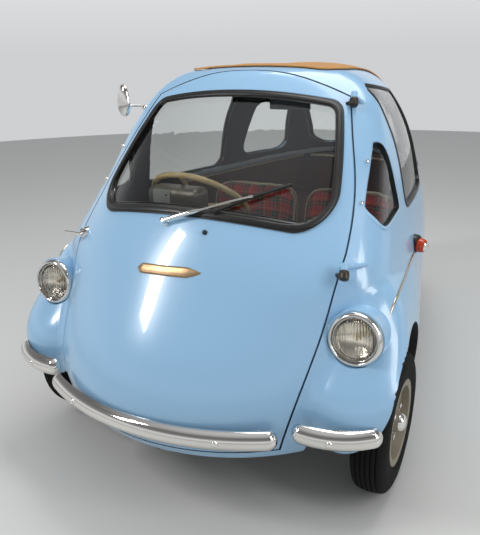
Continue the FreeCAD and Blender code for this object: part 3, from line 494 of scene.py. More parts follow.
def shade_and_underseal_shell(mesh):
    """Paint the faces inside the shell a darkened copy of the sky blue, as painted shade, and those
    round the wheels with underseal.
    Inner faces look against the outward slope of an egg of the body's size, and above the sills also
    square to it; the bulges that carry the headlamps are outside all the same."""
    mesh.materials.append(dark_blue_and_painted_shade)
    mesh.materials.append(underseal)
    middles = rows(mesh.polygons, "center")
    slope = unit((middles - EGG_MIDDLE) / EGG_HALF ** 2)
    aligned = (rows(mesh.polygons, "normal") * slope).sum(1)
    x, y, z = np.abs(middles[:, 0]), middles[:, 1], middles[:, 2]
    by_lamp = (y < -0.82) & (x > 0.4) & (z > 0.4) & (z < 0.8)
    # Faces counted as inside get the darkened sky blue, the painted shade inside the shell.
    inside = (aligned < np.where(z > SILL_HEIGHT, 0.35, -0.3)) & ~by_lamp
    by_front, by_rear = (np.hypot(y - well_y, z - well_z) < radius
                         for well_y, well_z, radius in (FRONT_WELL, REAR_WELL))
    in_well = (by_front & (x > FRONT_WELL_X)) | (by_rear & (x < REAR_WELL_X))
    mesh.polygons.foreach_set("material_index", np.where(in_well, 2, np.where(inside, 1, 0)))


roll_edges(body_paint, 0.0022)
PAINTED = ("body_shell", "door_panel", "engine_lid")
wear(body_paint, *PAINTED)
for painted in PAINTED:
    shade_and_underseal_shell(nodes[painted].data)

# Glass, rubber and chrome, used by many pieces.

GLASS = {"IOR": 1.45, "Transmission Weight": 1.0}
clear_glass = plain("window_glass", {"Base Color": (0.95, 0.975, 0.965, 1), "Roughness": 0.015,
                                     **GLASS})
rubber = finish_of("seal_rubber", (0.013, 0.013, 0.012), 0.75, 0.36, mottle=26, grain=0.25)
chrome = finish_of("chrome", (0.8, 0.78, 0.75), 0.94, 0.07, metallic=1, mottle=9, grain=0.02,
                   grain_size=30, spread=0.03)
bright = finish_of("bright_metal", (0.86, 0.84, 0.8), 0.95, 0.12, metallic=1, mottle=30,
                   spread=0.05)
mirror_face = finish_of("mirror_face", (0.86, 0.86, 0.86), 0.98, 0.04, metallic=1, spread=0.01)
wear(clear_glass, "side_windows", "rear_window", "windscreen")
wear(rubber, "windscreen_seal", "pedals")
wear(chrome, "door_bumper", "wing_bumpers", "rear_bumper", "door_handle")

# Windscreen bead. A moulded black rubber bead, laid round the middle of the windscreen's seal. The
# seal's middle is found by lines thrown at it along spokes from the middle of the screen.

SCREEN_MIDDLE = 1.03
spoke = angles(180)
reach = np.arange(0.12, 0.52, 0.001)
seal_tree = triangles(("windscreen_seal",))[0]
radius = []
for way_x, way_z in zip(np.cos(spoke), np.sin(spoke)):
    spots = [(way_x * far, -2.0, SCREEN_MIDDLE + way_z * far) for far in reach]
    met = [seal_tree.ray_cast(spot, (0, 1, 0))[2] is not None for spot in spots]
    radius.append(reach[met].mean())
skin, normal = from_front(np.cos(spoke) * radius, SCREEN_MIDDLE + np.sin(spoke) * radius,
                          "windscreen_seal")
bead = carried(skin - normal * 0.001, normal, rounded_bar(0.018, 0.0055), closed=True)
piece("screen_bead", [bead], "door", rubber)

# Windows. Glass set in black rubber: a lip on the skin and a channel in the hole. The vent windows
# stand in pressed painted rims instead of a lip. Corners are (along the side, height).

VENT_WINDOW = ([(-0.699, 0.905), (-0.677, 0.847), (-0.465, 0.868), (-0.518, 1.12)],
               [0.03, 0.022, 0.028, 0.022])
SIDE_WINDOW = ([(-0.368, 0.848), (0.175, 0.838), (0.125, 1.205), (-0.413, 1.262)],
               [0.036, 0.055, 0.09, 0.03])
QUARTER_WINDOW = ([(-0.19, 0.868), (0.165, 0.868), (0.105, 1.125), (-0.125, 1.14)],
                  [0.055, 0.055, 0.04, 0.04])
REAR_WINDOW = ([(-0.262, 0.868), (0.262, 0.868), (0.205, 1.165), (-0.205, 1.165)],
               [0.06, 0.06, 0.05, 0.05])
QUARTER_TURN = math.radians(38)
MIDDLE = (0, 0, 0)
LIP = rounded_bar(0.015, 0.0035)
VENT_LIP = rounded_bar(0.013, 0.004)
CHANNEL = [(-0.004, -0.0085), (0.004, -0.0085), (0.004, 0.001), (-0.004, 0.001)]
PROBE_OUT = 0.004


def facing(window, side):
    """Window as seen from one side of the car, its corners always anticlockwise."""
    corners, radii = window
    return window if side > 0 else ([(-along, z) for along, z in corners][::-1], radii[::-1])


def framed(window, origin, across, lip):
    """A window's lip and channel. Its outline is thrown on the shell just outside the hole; the lip
    lies there, and the channel a little down inside the hole."""
    across = np.array(across, float)
    out = np.cross(across, Z_UP)
    loop = rounded(*window)
    tangent = unit(np.roll(loop, -1, 0) - np.roll(loop, 1, 0))
    side = np.stack([tangent[:, 1], -tangent[:, 0]], 1)
    flat = loop + side * PROBE_OUT
    probe = np.array(origin) + flat[:, :1] * across + flat[:, 1:] * Z_UP + out * 1.5
    skin, normal = cast(probe, -out, "body_shell")
    inwards = -(side[:, :1] * across + side[:, 1:] * Z_UP)
    return [carried(skin + inwards * (PROBE_OUT + inset) - normal * sink, normal, section, True)
            for section, inset, sink in ((lip, 0, 0.001), (CHANNEL, 0.004, 0))]


vent_rims, window_seals = [], []
for side in (1, -1):
    across = (0, side, 0)
    slanting = (-math.sin(QUARTER_TURN), side * math.cos(QUARTER_TURN), 0)
    rim, channel = framed(facing(VENT_WINDOW, side), MIDDLE, across, VENT_LIP)
    vent_rims.append(rim)
    window_seals.append(channel)
    window_seals += framed(facing(SIDE_WINDOW, side), MIDDLE, across, LIP)
    window_seals += framed(facing(QUARTER_WINDOW, side), (side * 0.24, 0.38, 0), slanting, LIP)
window_seals += framed(REAR_WINDOW, MIDDLE, (-1, 0, 0), LIP)
piece("vent_rims", vent_rims, "car_body", body_paint)
piece("window_seals", window_seals, "car_body", rubber)

# Vent window clips. Two small turned pivots of bright metal on each vent window's front edge, each
# with a tongue that reaches back over the glass.

CLIP_PLACES = np.array([(-0.692, 0.925), (-0.6, 1.035)])
PIVOT = [(-0.004, 0.0002), (-0.004, 0.006), (0.007, 0.006), (0.01, 0.004), (0.011, 0.0002)]
TONGUE = (0, 0.022, -0.002)
clips = []
for side in (1, -1):
    for spot, out in zip(*from_side(side, *CLIP_PLACES.T, "body_shell")):
        clips.append(lathe(PIVOT, spot, out, 20))
        tongue = spot + out * 0.006 + np.linspace(0, 1, 4)[:, None] * TONGUE
        clips.append(carried(tongue, out, rounded_bar(0.008, 0.003)))
piece("vent_clips", clips, "car_body", bright)

# Headlamps. Chromed rims on round bowls in the wings, each with a dark gap, a fluted glass and a
# silvered reflector with its bulb behind it. The axis leans up by 8 degrees.

LAMP_PLACE = (0.555, -0.943, 0.596)
LAMP_AXIS = (0, -math.cos(math.radians(8)), math.sin(math.radians(8)))
OUTER_RIM = softened([(-0.01, 0.08), (-0.01, 0.07), (0.004, 0.0665), (0.013, 0.0668),
                      (0.0165, 0.069), (0.016, 0.0735), (0.01, 0.0785), (0.002, 0.0808)], 2, True)
INNER_RIM = softened([(-0.002, 0.0662), (-0.002, 0.0622), (0.0055, 0.0622), (0.0075, 0.0642),
                      (0.005, 0.0662)], 1, True)
BOWL = [(-0.082, 0.0005), (-0.082, 0.03), (-0.062, 0.06), (-0.03, 0.0755), (-0.004, 0.0755),
        (-0.004, 0.0685), (-0.014, 0.066), (-0.026, 0.052), (-0.036, 0.034), (-0.042, 0.016),
        (-0.043, 0.0005)]
LAMP_GLASS = softened([(-0.004, 0.0005), (-0.004, 0.064), (0.002, 0.0652), (0.0055, 0.06),
                       (0.0095, 0.05), (0.0125, 0.038), (0.0148, 0.024), (0.016, 0.01),
                       (0.0162, 0.0005)], 1)
GAP = [(-0.008, 0.0705), (-0.008, 0.0655), (0.002, 0.0655), (0.002, 0.0705)]
BULB = softened([(-0.042, 0.0005), (-0.042, 0.008), (-0.03, 0.009), (-0.02, 0.007),
                 (-0.014, 0.0005)], 1)

fluted_glass = plain("fluted_glass", {"Base Color": (1.0, 0.965, 0.88, 1), "Roughness": 0.05,
                                      **GLASS})
lens_tree = fluted_glass.node_tree
flutes = maths(lens_tree, "ADD", waves(lens_tree, "X", 42.0), waves(lens_tree, "Z", 9.0))
bumped(fluted_glass, flutes, 0.55, 0.0022)
warm_bulb = finish_of("bulb_glass", (0.95, 0.78, 0.45), 0.9, 0.1, mottle=40, spread=0.03)


def lamp_pair(profiles, steps=72, ring=False):
    """Profiles turned about both headlamps' axes."""
    return [lathe(profile, np.array(LAMP_PLACE) * (side, 1, 1), LAMP_AXIS, steps, ring)
            for side in (1, -1) for profile in profiles]


piece("headlamp_rims", lamp_pair([OUTER_RIM, INNER_RIM], ring=True), "car_body", chrome,
      sharp=60)
piece("headlamp_bowls_silvered", lamp_pair([BOWL]), "car_body", mirror_face,
      ("headlamp_bowls",))
piece("headlamp_glasses", lamp_pair([LAMP_GLASS]), "car_body", fluted_glass,
      ("headlamp_lenses",))
piece("headlamp_gaps", lamp_pair([GAP], ring=True), "car_body", rubber)
piece("headlamp_bulbs", lamp_pair([BULB], 24), "car_body", warm_bulb)

# Indicators and tail lamps. Moulded lenses with fine rings on black rubber feet; the indicators, on
# the wings' flanks, have a bright cap.

INDICATOR_PLACE = (-0.31, 0.702)
TAIL_LAMP_X, TAIL_LAMP_HEIGHT = 0.262, 0.6
INDICATOR_FOOT = [(-0.02, 0.0005), (-0.02, 0.0325), (0.006, 0.0345), (0.013, 0.0305),
                  (0.014, 0.0005)]
INDICATOR_LENS = [(0.01, 0.0005), (0.01, 0.0285), (0.038, 0.0245), (0.044, 0.016), (0.045, 0.0005)]
INDICATOR_CAP = softened([(0.04, 0.0005), (0.04, 0.0195), (0.047, 0.015), (0.051, 0.0005)], 1)
TAIL_FOOT = [(-0.03, 0.0005), (-0.03, 0.036), (0.006, 0.038), (0.011, 0.035), (0.012, 0.0005)]
TAIL_LENS = [(0.008, 0.0005), (0.008, 0.0315), (0.028, 0.0295), (0.035, 0.018), (0.0375, 0.0005)]


def lens_of(name, colour):
    """Coloured plastic that lets some light through."""
    made = finish_of(name, colour, 0.85, 0.12, mottle=30, spread=0.04)
    feed(shader_of(made), {"Transmission Weight": 0.35})
    return made


def ribbed(profile, depth=0.001, count=6):
    """Profile with shallow ribs: its radius sways by a sine of the distance along it."""
    along, radius = softened(profile, 3).T
    sway = np.abs(depth * np.sin(np.linspace(0, FULL_TURN * count, len(along))))
    return np.stack([along, np.maximum(radius - sway * (radius > 0.004), 0.0003)], 1)


orange_lens = lens_of("orange_lens", (0.8, 0.075, 0.015))
red_lens = lens_of("red_lens", (0.6, 0.01, 0.008))
feet, glows, caps, tails = [], [], [], []
for side in (1, -1):
    at, way = from_side(side, *INDICATOR_PLACE, "body_shell")[0], (side, -0.25, -0.1)
    feet.append(lathe(INDICATOR_FOOT, at, way))
    glows.append(lathe(ribbed(INDICATOR_LENS), at, way))
    caps.append(lathe(INDICATOR_CAP, at, way))
    at, way = from_behind(side * TAIL_LAMP_X, TAIL_LAMP_HEIGHT, "body_shell")[0], (0, 1, 0)
    feet.append(lathe(TAIL_FOOT, at, way))
    tails.append(lathe(ribbed(TAIL_LENS), at, way))
piece("lamp_feet", feet, "car_body", rubber)
piece("indicator_lenses", glows, "car_body", orange_lens, ("indicator_lamps",))
piece("indicator_caps", caps, "car_body", bright)
piece("tail_lenses", tails, "car_body", red_lens, ("tail_lamps",))

# Bumpers. Chromed rounded channels on stays, held by domed bolts on their faces.

BOLT = softened([(-0.004, 0.0003), (-0.004, 0.0095), (0.002, 0.0095), (0.0055, 0.006),
                 (0.0065, 0.0003)], 1)
for bar, body, thrown, x, height in (("door_bumper", "door", from_front, 0.255, 0.342),
                                     ("wing_bumpers", "car_body", from_front, 0.545, 0.352),
                                     ("rear_bumper", "car_body", from_behind, 0.185, 0.357)):
    heads = [lathe(BOLT, spot, out, 24) for spot, out in zip(*thrown([-x, x], height, bar))]
    piece(bar + "_bolts", heads, body, bright)

# Side mouldings. A thin half-round strip of soft-gold metal, pressed flat against each wing along
# its shoulder and running out to a point at both ends.

STRIP = softened([(0.6236, -0.85, 0.637), (0.6261, -0.811, 0.666), (0.6274, -0.778, 0.679),
                  (0.6201, -0.696, 0.68), (0.6099, -0.596, 0.678), (0.5956, -0.471, 0.674),
                  (0.588, -0.39, 0.677), (0.583, -0.328, 0.683)], 2)
strip_metal = finish_of("strip_metal", (0.62, 0.55, 0.43), 0.85, 0.22, metallic=0.9, mottle=30,
                        spread=0.06)
strips = []
for side in (1, -1):
    way = unit([side * 0.75, -0.2, 0.6])
    skin, normal = cast(STRIP * (side, 1, 1) + way * 0.2, -way, "body_shell")
    strips.append(carried(skin, normal, rounded_bar(0.008, 0.004, 4),
                          scale=tapered(len(STRIP), 2, 0.05)))
piece("side_mouldings", strips, "car_body", strip_metal)

# Door furniture. A plain brass bar, stepped along both edges, lies across the nose, and the
# screen washer's rubber jet stands above it on the door's skin.

BAR_START, BAR_END = np.array([-0.116, 0.742]), np.array([0.106, 0.752])
BAR_SECTION = mirrored([(0.016, -0.002), (0.016, 0.0022), (0.0135, 0.0034), (0.0115, 0.002),
                        (0.006, 0.0026), (0, 0.0032)])
JET_PLACE = (0.082, 0.855)
JET = softened([(-0.003, 0.0003), (-0.003, 0.008), (0.003, 0.008), (0.009, 0.005),
                (0.01, 0.0003)], 1)
brass = finish_of("aged_brass", (0.46, 0.31, 0.17), 0.62, 0.33, metallic=0.85, mottle=70, grain=0.2,
                  grain_size=500, spread=0.1)
share = np.linspace(0, 1, 41)
x, z = BAR_START[:, None] * (1 - share) + BAR_END[:, None] * share
skin, normal = from_front(x, z, "door_panel")
ends = np.clip(np.minimum(share * 14, (1 - share) * 5), 0.08, 1) ** 0.7
piece("door_plaque", [carried(skin, normal, BAR_SECTION, scale=ends)], "door", brass,
      sharp=30)
piece("washer_jet", [lathe(JET, *from_front(*JET_PLACE, "door_panel"), 24)], "door", rubber)

# Hinges. Cast knuckles outside the skin on a leaning axis: bronzed caps on the door's half, painted
# arms on the body's half with a bright pin end.

HINGE_LOW = np.array([0.5, -0.893, 0.775])
HINGE_HIGH = np.array([0.388, -0.502, 1.217])
CAP = softened([(-0.0285, 0.0003), (-0.0285, 0.009), (-0.025, 0.0145), (-0.004, 0.015),
                (-0.0012, 0.0125), (-0.001, 0.0003)], 1)
PIN = [(0.0225, 0.0003), (0.0225, 0.006), (0.0245, 0.005), (0.025, 0.0003)]
bronze = finish_of("hinge_bronze", (0.06, 0.05, 0.036), 0.6, 0.38, metallic=0.5, mottle=60,
                   grain=0.3, grain_size=300, spread=0.12)
wear(bronze, "door_hinges")
wear(body_paint, "body_hinges")
hinge_way = HINGE_HIGH - HINGE_LOW
caps, pins = ([lathe(profile, centre, hinge_way, steps) for centre in (HINGE_LOW, HINGE_HIGH)]
              for profile, steps in ((CAP, 32), (PIN, 24)))
piece("hinge_caps", caps, "door", bronze)
piece("hinge_pins", pins, "car_body", bright)

# Wiper. A stout chromed arm on a spindle in front of the windscreen, a slim rod, and a black blade
# carrier with its rubber. Its places are (x, height) as seen from the front.

WIPER_PIVOT = (-0.061, 0.868)
WIPER_ROUTE = [(0.01, 0.893), (0.064, 0.908), (0.13, 0.928), (0.19, 0.943)]
WIPER_BLADE = [(0.094, 0.905), (0.142, 0.924), (0.19, 0.943), (0.238, 0.96), (0.285, 0.976)]
ARM_HEIGHT = 0.018
ARM_SECTION = mirrored([(0.0066, -0.002), (0.0066, 0.002), (0.003, 0.005)]) + [(0, -0.003)]
SPINDLE = [(-0.012, 0.0003), (-0.012, 0.01), (0.002, 0.01), (0.004, 0.0075), (0.016, 0.0075),
           (0.022, 0.0095), (0.026, 0.0075), (0.027, 0.0003)]
CARRIER = mirrored([(0.0052, -0.002), (0.004, 0.0042)])
WIPING_EDGE = mirrored([(0.0012, -0.0015), (0.003, 0.0028)])


def on_screen(spots, clearance):
    """Points at a clearance in front of the screen and its seal."""
    skin, normal = from_front(*np.array(spots).T, ("windscreen", "windscreen_seal", "door_panel"))
    return skin + normal * clearance


def smooth_line(points, count):
    """Points evenly spaced along a line whose corners are cut."""
    return resampled(softened(points, 3), count)


pivot, pivot_way = from_front(*WIPER_PIVOT, "door_panel")
arm_foot = pivot + pivot_way * ARM_HEIGHT
arm_line = smooth_line(np.vstack([arm_foot, on_screen(WIPER_ROUTE, ARM_HEIGHT)]), 40)
thick = np.interp(np.linspace(0, 1, 40), (0.36, 0.44), (1.0, 0.48))
arm = carried(arm_line, pivot_way, ARM_SECTION, scale=thick)
spindle = lathe(SPINDLE, pivot, pivot_way, 28)
grip = carried(arm_line[-3:] - pivot_way * 0.004, pivot_way, rounded_bar(0.009, 0.006))
piece("wiper_arm", [arm, spindle, grip], "door", bright, ("wiper",))
blade = [carried(smooth_line(on_screen(WIPER_BLADE, clearance), 40), pivot_way, section)
         for clearance, section in ((0.0125, CARRIER), (0.0095, WIPING_EDGE))]
piece("wiper_blade", blade, "door", rubber)

# Mirrors. Outside, a pressed chrome shield with a point at its top, on a stem from the pillar;
# inside, a plain oblong glass hung from the header.

MIRROR_HEAD = np.array([-0.505, -0.53, 1.186])
STEM_PLACE = (-0.478, 1.168)
STEM_PAD = softened([(-0.004, 0.0003), (-0.004, 0.012), (0.004, 0.012), (0.01, 0.006),
                     (0.011, 0.0003)], 1)
mirror_out = unit([-0.34, -0.94, 0])
mirror_across = unit(np.cross(mirror_out, Z_UP))
turn = angles(64)
reach = 0.042 * (1 - 0.08 * np.cos(2 * turn)) + 0.02 * np.clip(np.sin(turn), 0, 1) ** 6
outline = reach[:, None] * (np.cos(turn)[:, None] * mirror_across * 0.92
                            + np.sin(turn)[:, None] * Z_UP * 1.06)


def shield(scales, heights):
    """Rings of the shield's outline: each at a scale, and at a height in front of its flat."""
    scales, heights = (np.array(values, float)[:, None, None] for values in (scales, heights))
    return MIRROR_HEAD + outline * scales + mirror_out * heights


rise = np.linspace(0, np.pi / 2, 12)
head = np.vstack([shield((0.93, 1.0, 1.02), (-0.006, -0.006, -0.003)),
                  shield(np.maximum(np.cos(rise), 0.01), 0.017 * np.sin(rise))])
foot, foot_way = from_side(-1, *STEM_PLACE, "body_shell")
stem = smooth_line([foot + (0.004, 0, 0), foot + (-0.022, -0.006, 0.008),
                    MIRROR_HEAD + (0.006, 0.012, -0.01), MIRROR_HEAD - mirror_out * 0.002], 16)
piece("door_mirror_shield", [(head, False), carried(stem, Z_UP, circle(0.0042)),
                             lathe(STEM_PAD, foot, foot_way, 28)],
      "car_body", chrome, ("door_mirror",))
piece("door_mirror_glass", [(shield((0.94, 0.94), (-0.004, -0.0065)), False)], "car_body",
      mirror_face)
wear(dark_blue_and_painted_shade, "interior_mirror")
piece("interior_mirror_glass", [slab(oblong((0.078, 1.175), (0.222, 1.215), 0.01), -0.4565, -0.455)],
      "door", mirror_face)

# Cloth roof. One sheet of rubberised cotton drawn tight over the opening: it lifts a little over
# two cross bows and sags between them, with a bound hem all round.

ROOF_FRONT, ROOF_REAR, ROOF_HALF = -0.405, 0.44, 0.3
FRONT_CORNER, REAR_CORNER = 0.09, 0.15
ROOF_ROWS, ROOF_COLUMNS = 64, 33
CLOTH = 0.0024


def woven(made, pitch, depth):
    """Plain weave as bumps: two sets of fine bands at right angles, multiplied."""
    tree = made.node_tree
    warp, weft = (waves(tree, direction, 0.314 / pitch, 0.6) for direction in "XY")
    bumped(made, maths(tree, "MULTIPLY", warp, weft), depth, 0.0008)
    feed(shader_of(made), {"Sheen Weight": 0.08})


def corner_cut(radius, distance):
    """How far a rounded corner draws the roof's edge in, at a distance from its end."""
    return radius - np.sqrt(radius ** 2 - np.clip(radius - distance, 0, None) ** 2)


roof_cloth = finish_of("roof_cloth", (0.53, 0.265, 0.085), 0.8, 0.9, mottle=7, spread=0.06)
feed(shader_of(roof_cloth), {"Specular IOR Level": 0.2})
woven(roof_cloth, 0.0022, 0.6)
along = np.linspace(0.004, 1 - 0.004, ROOF_ROWS)
across = np.linspace(-1, 1, ROOF_COLUMNS)
lengthwise = ROOF_FRONT + (ROOF_REAR - ROOF_FRONT) * along
half = (ROOF_HALF - corner_cut(FRONT_CORNER, lengthwise - ROOF_FRONT)
        - corner_cut(REAR_CORNER, ROOF_REAR - lengthwise) - 0.003)
spots = places(across * half[:, None], lengthwise[:, None], 2.0)
skin, normal = (found.reshape(spots.shape)
                for found in cast(spots.reshape(-1, 3), (0, 0, -1), "fabric_roof"))
bows = 0.5 + 0.5 * np.cos(FULL_TURN * 3 * along)
edge = (1 - np.abs(across) ** 4) * np.clip(np.minimum(along, 1 - along) * 9, 0, 1)[:, None]
lift = (-0.0045 + 0.0055 * bows[:, None]) * edge
outer = skin + normal * (CLOTH / 2 + lift[..., None])
inner = outer - normal * CLOTH
roof = piece("cloth_roof", [(np.concatenate([outer, inner[:, ::-1]], 1), False)], "car_body",
             roof_cloth, ("fabric_roof",), sharp=50)
hem_line, hem_up = (np.vstack([grid[:, 0], grid[-1, 1:-1], grid[::-1, -1], grid[0, -2:0:-1]])
                    for grid in (skin, normal))
hem = piece("roof_hem", [carried(hem_line, hem_up, rounded_bar(0.01, 0.0032, 3), closed=True)],
            "car_body", roof_cloth)

# Seats. A bench cushion and two backs in red tartan with cream piping, over a boarded frame. Each
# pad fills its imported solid's box, a little short of it, and is then blown up as cloth.

SEAT_BACKS = [(0.006, 0.451), (-0.451, -0.006)]
BACK_LEAN = math.radians(9)
BACK_AXES = np.array([(1, 0, 0), (0, math.sin(BACK_LEAN), math.cos(BACK_LEAN)),
                      (0, -math.cos(BACK_LEAN), math.sin(BACK_LEAN))])
BACK_DEPTH = 0.03
RED, DARK, GREEN, STRAW = ((0.5, 0.012, 0.016), (0.022, 0.012, 0.02), (0.018, 0.04, 0.03),
                           (0.6, 0.44, 0.18))
STRIPES = [(0.0, RED), (0.17, DARK), (0.2, RED), (0.25, DARK), (0.28, RED), (0.4, GREEN),
           (0.53, DARK), (0.56, STRAW), (0.58, DARK), (0.68, GREEN), (0.76, RED), (0.9, STRAW),
           (0.92, RED)]
TWILL = 0.0024


def tartan(name, repeat):
    """Woven tartan: the same run of coloured stripes across and along, mixed by a fine twill."""
    made = finish_of(name, (1, 1, 1), 1.0, 0.9, spread=0.03)
    tree = made.node_tree
    place = grow(tree, "TexCoord").outputs["Object"]
    x, y, z = grow(tree, "SeparateXYZ", {0: place}).outputs
    upright = maths(tree, "ADD", y, z)
    runs = []
    for source in (x, upright):
        share = maths(tree, "FRACT", maths(tree, "MULTIPLY", source, 1 / repeat))
        runs.append(ramped(tree, share, STRIPES, "CONSTANT"))
    diagonal = maths(tree, "MULTIPLY", maths(tree, "ADD", x, upright), FULL_TURN / TWILL)
    twill = maths(tree, "SINE", diagonal)
    level = grow(tree, "MapRange", {"Value": twill, "From Min": -1, "To Min": 0.25, "To Max": 0.75})
    mix = grow(tree, "Mix", {"Factor": level.outputs["Result"], "A": runs[0], "B": runs[1]},
               data_type="RGBA")
    feed(shader_of(made), {"Base Color": mix.outputs["Result"], "Sheen Weight": 0.3})
    bumped(made, twill, 0.4, 0.0008)
    return made


def superellipse(count, powers):
    """Outline with squared corners, by one power in its lower half and another in its upper."""
    outline = circle(1, count)
    return bulged(outline, np.where(outline[:, 1:] > 0, powers[1], powers[0]))


def pad_grid(centre, axes, squareness, crown):
    """Crowned cushion: rings of a superellipse that shrink towards the front and back poles as the
    cosine to a power, while the thickness follows the sine to the crown's power. The axes run
    across, along and out of the pad, each as long as half its size."""
    rise = np.linspace(-np.pi / 2, np.pi / 2, 26)
    shrink = np.maximum(np.cos(rise), 0.02) ** 0.3
    depth = bulged(np.sin(rise), crown)
    ring = superellipse(120, squareness) @ axes[:2]
    return centre + shrink[:, None, None] * ring + depth[:, None, None] * axes[2], False


def plumped(pad, voxel, cap):
    """The pad as cloth blown up by pressure with no gravity, each point's travel capped, then one
    subdivision. It gives the fabric its soft swelling between seams."""
    scene = bpy.context.scene
    even = pad.modifiers.new("even", "REMESH")
    even.mode = "VOXEL"
    even.voxel_size = voxel
    graph = bpy.context.evaluated_depsgraph_get()
    remade = bpy.data.meshes.new_from_object(pad.evaluated_get(graph))
    pad.modifiers.remove(even)
    pad.data = remade
    rest = rows(remade.vertices, "co")
    cloth = pad.modifiers.new("cloth", "CLOTH")
    cloth.settings.use_pressure = True
    cloth.settings.uniform_pressure_force = 4.0
    cloth.settings.effector_weights.gravity = 0
    cloth.point_cache.frame_end = 20
    for step in range(1, 21):
        scene.frame_set(step)
    graph = bpy.context.evaluated_depsgraph_get()
    blown = bpy.data.meshes.new_from_object(pad.evaluated_get(graph))
    travel = rows(blown.vertices, "co") - rest
    pad.modifiers.remove(cloth)
    scene.frame_set(1)
    length = np.linalg.norm(travel, axis=1, keepdims=True)
    travel *= np.minimum(1, cap / np.maximum(length, 1e-9))
    remade.vertices.foreach_set("co", (rest + travel).ravel())
    remade.shade_smooth()
    smooth = pad.modifiers.new("smooth", "SUBSURF")
    smooth.levels = smooth.render_levels = 1


def edge_of(pad, centre, axes, squareness, forward):
    """Piping round a pad: its outline at a share of its depth, moved to the nearest points of the
    finished cloth, evened out, and set just above them."""
    line = centre + superellipse(150, squareness) @ axes[:2] + axes[2] * forward
    cloth = rows(pad.data.vertices, "co")
    nearest = ((line[:, None] - cloth[None]) ** 2).sum(2).argmin(1)
    path = cloth[nearest] + rows(pad.data.vertices, "normal")[nearest] * 0.0015
    wrapped = np.vstack([path[-2:], path, path[:2]])
    kernel = np.array([1, 2, 3, 2, 1.0]) / 9
    path = np.stack([np.convolve(column, kernel, "valid") for column in wrapped.T], 1)
    return carried(path, unit(axes[2]), circle(0.0042, 8), closed=True)


tartan_cloth = tartan("tartan_cloth", 0.078)
piping_cloth = finish_of("cream_piping", (0.55, 0.47, 0.33), 0.8, 0.7, mottle=60, grain=0.3,
                         grain_size=900)
back_low, back_high = (np.array(corner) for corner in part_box("seat_backs"))
base_low, base_high = (np.array(corner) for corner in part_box("seat_base"))
pipings = []
for number, (left, right) in enumerate(SEAT_BACKS):
    centre = (back_low + back_high) / 2
    centre[0] = (left + right) / 2
    half_sizes = [(right - left) / 2 - 0.008, (back_high[2] - back_low[2]) / 2 - 0.012, BACK_DEPTH]
    shape = (centre, BACK_AXES * np.array(half_sizes)[:, None], (0.2, 0.42))
    pad = piece("seat_back_%d" % number, [pad_grid(*shape, 0.45)], "car_body", tartan_cloth,
                ("seat_backs",) if number == 0 else ())
    plumped(pad, 0.008, 0.012)
    pipings += [edge_of(pad, *shape, forward) for forward in (0.62, -0.62)]
half_sizes = (base_high - base_low) / 2 - (0.01, 0.01, 0.008)
shape = ((base_low + base_high) / 2, np.diag(half_sizes), (0.16, 0.16))
bench = piece("seat_cushion", [pad_grid(*shape, 0.3)], "car_body", tartan_cloth,
              ("seat_base",))
plumped(bench, 0.01, 0.008)
pipings.append(edge_of(bench, *shape, 0.7))
piece("seat_piping", pipings, "car_body", piping_cloth)

# Cabin trim. Maroon boards on the walls, shelf and seat frame, edged with pale piping, and a
# painted steel rail round the waist under the windows. The upper boards and the rail are thrown from
# a point between the seats, at angles counted from straight back.

CABIN_MIDDLE = 0.15
BOARD = 0.003
RAIL = mirrored([(0.013, -0.001), (0.013, 0.004), (0.009, 0.009)])
trim_board = finish_of("maroon_board", (0.105, 0.03, 0.024), 0.7, 0.5, mottle=5, grain=0.5,
                       grain_size=260)
rail_paint = finish_of("waist_rail_paint", (0.3, 0.37, 0.42), 0.9, 0.3, mottle=8, spread=0.06)
wear(trim_board, "seat_frame", "rear_shelf")


def lining(starts, directions, node):
    """Board along an inner wall: a grid of lines thrown from the cabin, drawn back off the wall."""
    skin, normal = cast(starts.reshape(-1, 3), directions, node)
    way = np.broadcast_to(unit(directions), skin.shape)
    near, back = ((skin - way * gap).reshape(starts.shape) for gap in (2 * BOARD, BOARD))
    return np.concatenate([near, back[:, ::-1]], 1), False


boards, board_edges = [], []
for side in (1, -1):
    heights = np.linspace(0.44, 0.6, 8)[:, None]
    starts = places(0.0, np.linspace(-0.425, 0.13, 26), heights)
    boards.append(lining(starts, (side, 0, 0), "body_shell"))
    turn = side * np.radians(np.linspace(24, 118, 60))
    heights = np.linspace(0.603, 0.806, 10)[:, None] + np.zeros(60)
    ways = places(np.sin(turn), np.cos(turn), 0)
    boards.append(lining(places(0.0, CABIN_MIDDLE, heights), np.tile(ways, (10, 1)), "body_shell"))
    board_edges.append(carried(boards[-1][0][-1, :60], Z_UP, circle(0.0045, 8)))
piece("side_boards", boards, "car_body", trim_board)
starts = places(np.linspace(-0.335, 0.335, 30), -0.35, np.linspace(0.345, 0.8, 16)[:, None])
piece("door_board", [lining(starts, (0, -1, 0), "door_panel")], "door", trim_board)
for half, y, z, radius in ((0.262, 0.858, 0.8015, 0.0055), (0.47, 0.1495, 0.586, 0.005)):
    board_edges.append(carried(places(np.linspace(-half, half, 20), y, z), Z_UP, circle(radius, 8)))
piece("trim_piping", board_edges, "car_body", piping_cloth)
turn = np.radians(np.linspace(-118, 118, 110))
ways = places(np.sin(turn), np.cos(turn), 0)
skin, normal = cast(places(np.zeros(110), CABIN_MIDDLE, 0.826), ways, "body_shell")
piece("waist_rail", [carried(skin - ways * 0.002, -ways, softened(RAIL, 1, True))], "car_body",
      rail_paint)

# Driver's place. Cream wheel on a grey column, a bronze-grey instrument nacelle with a pale cover
# plate in front, held by two screws, and a dial behind.

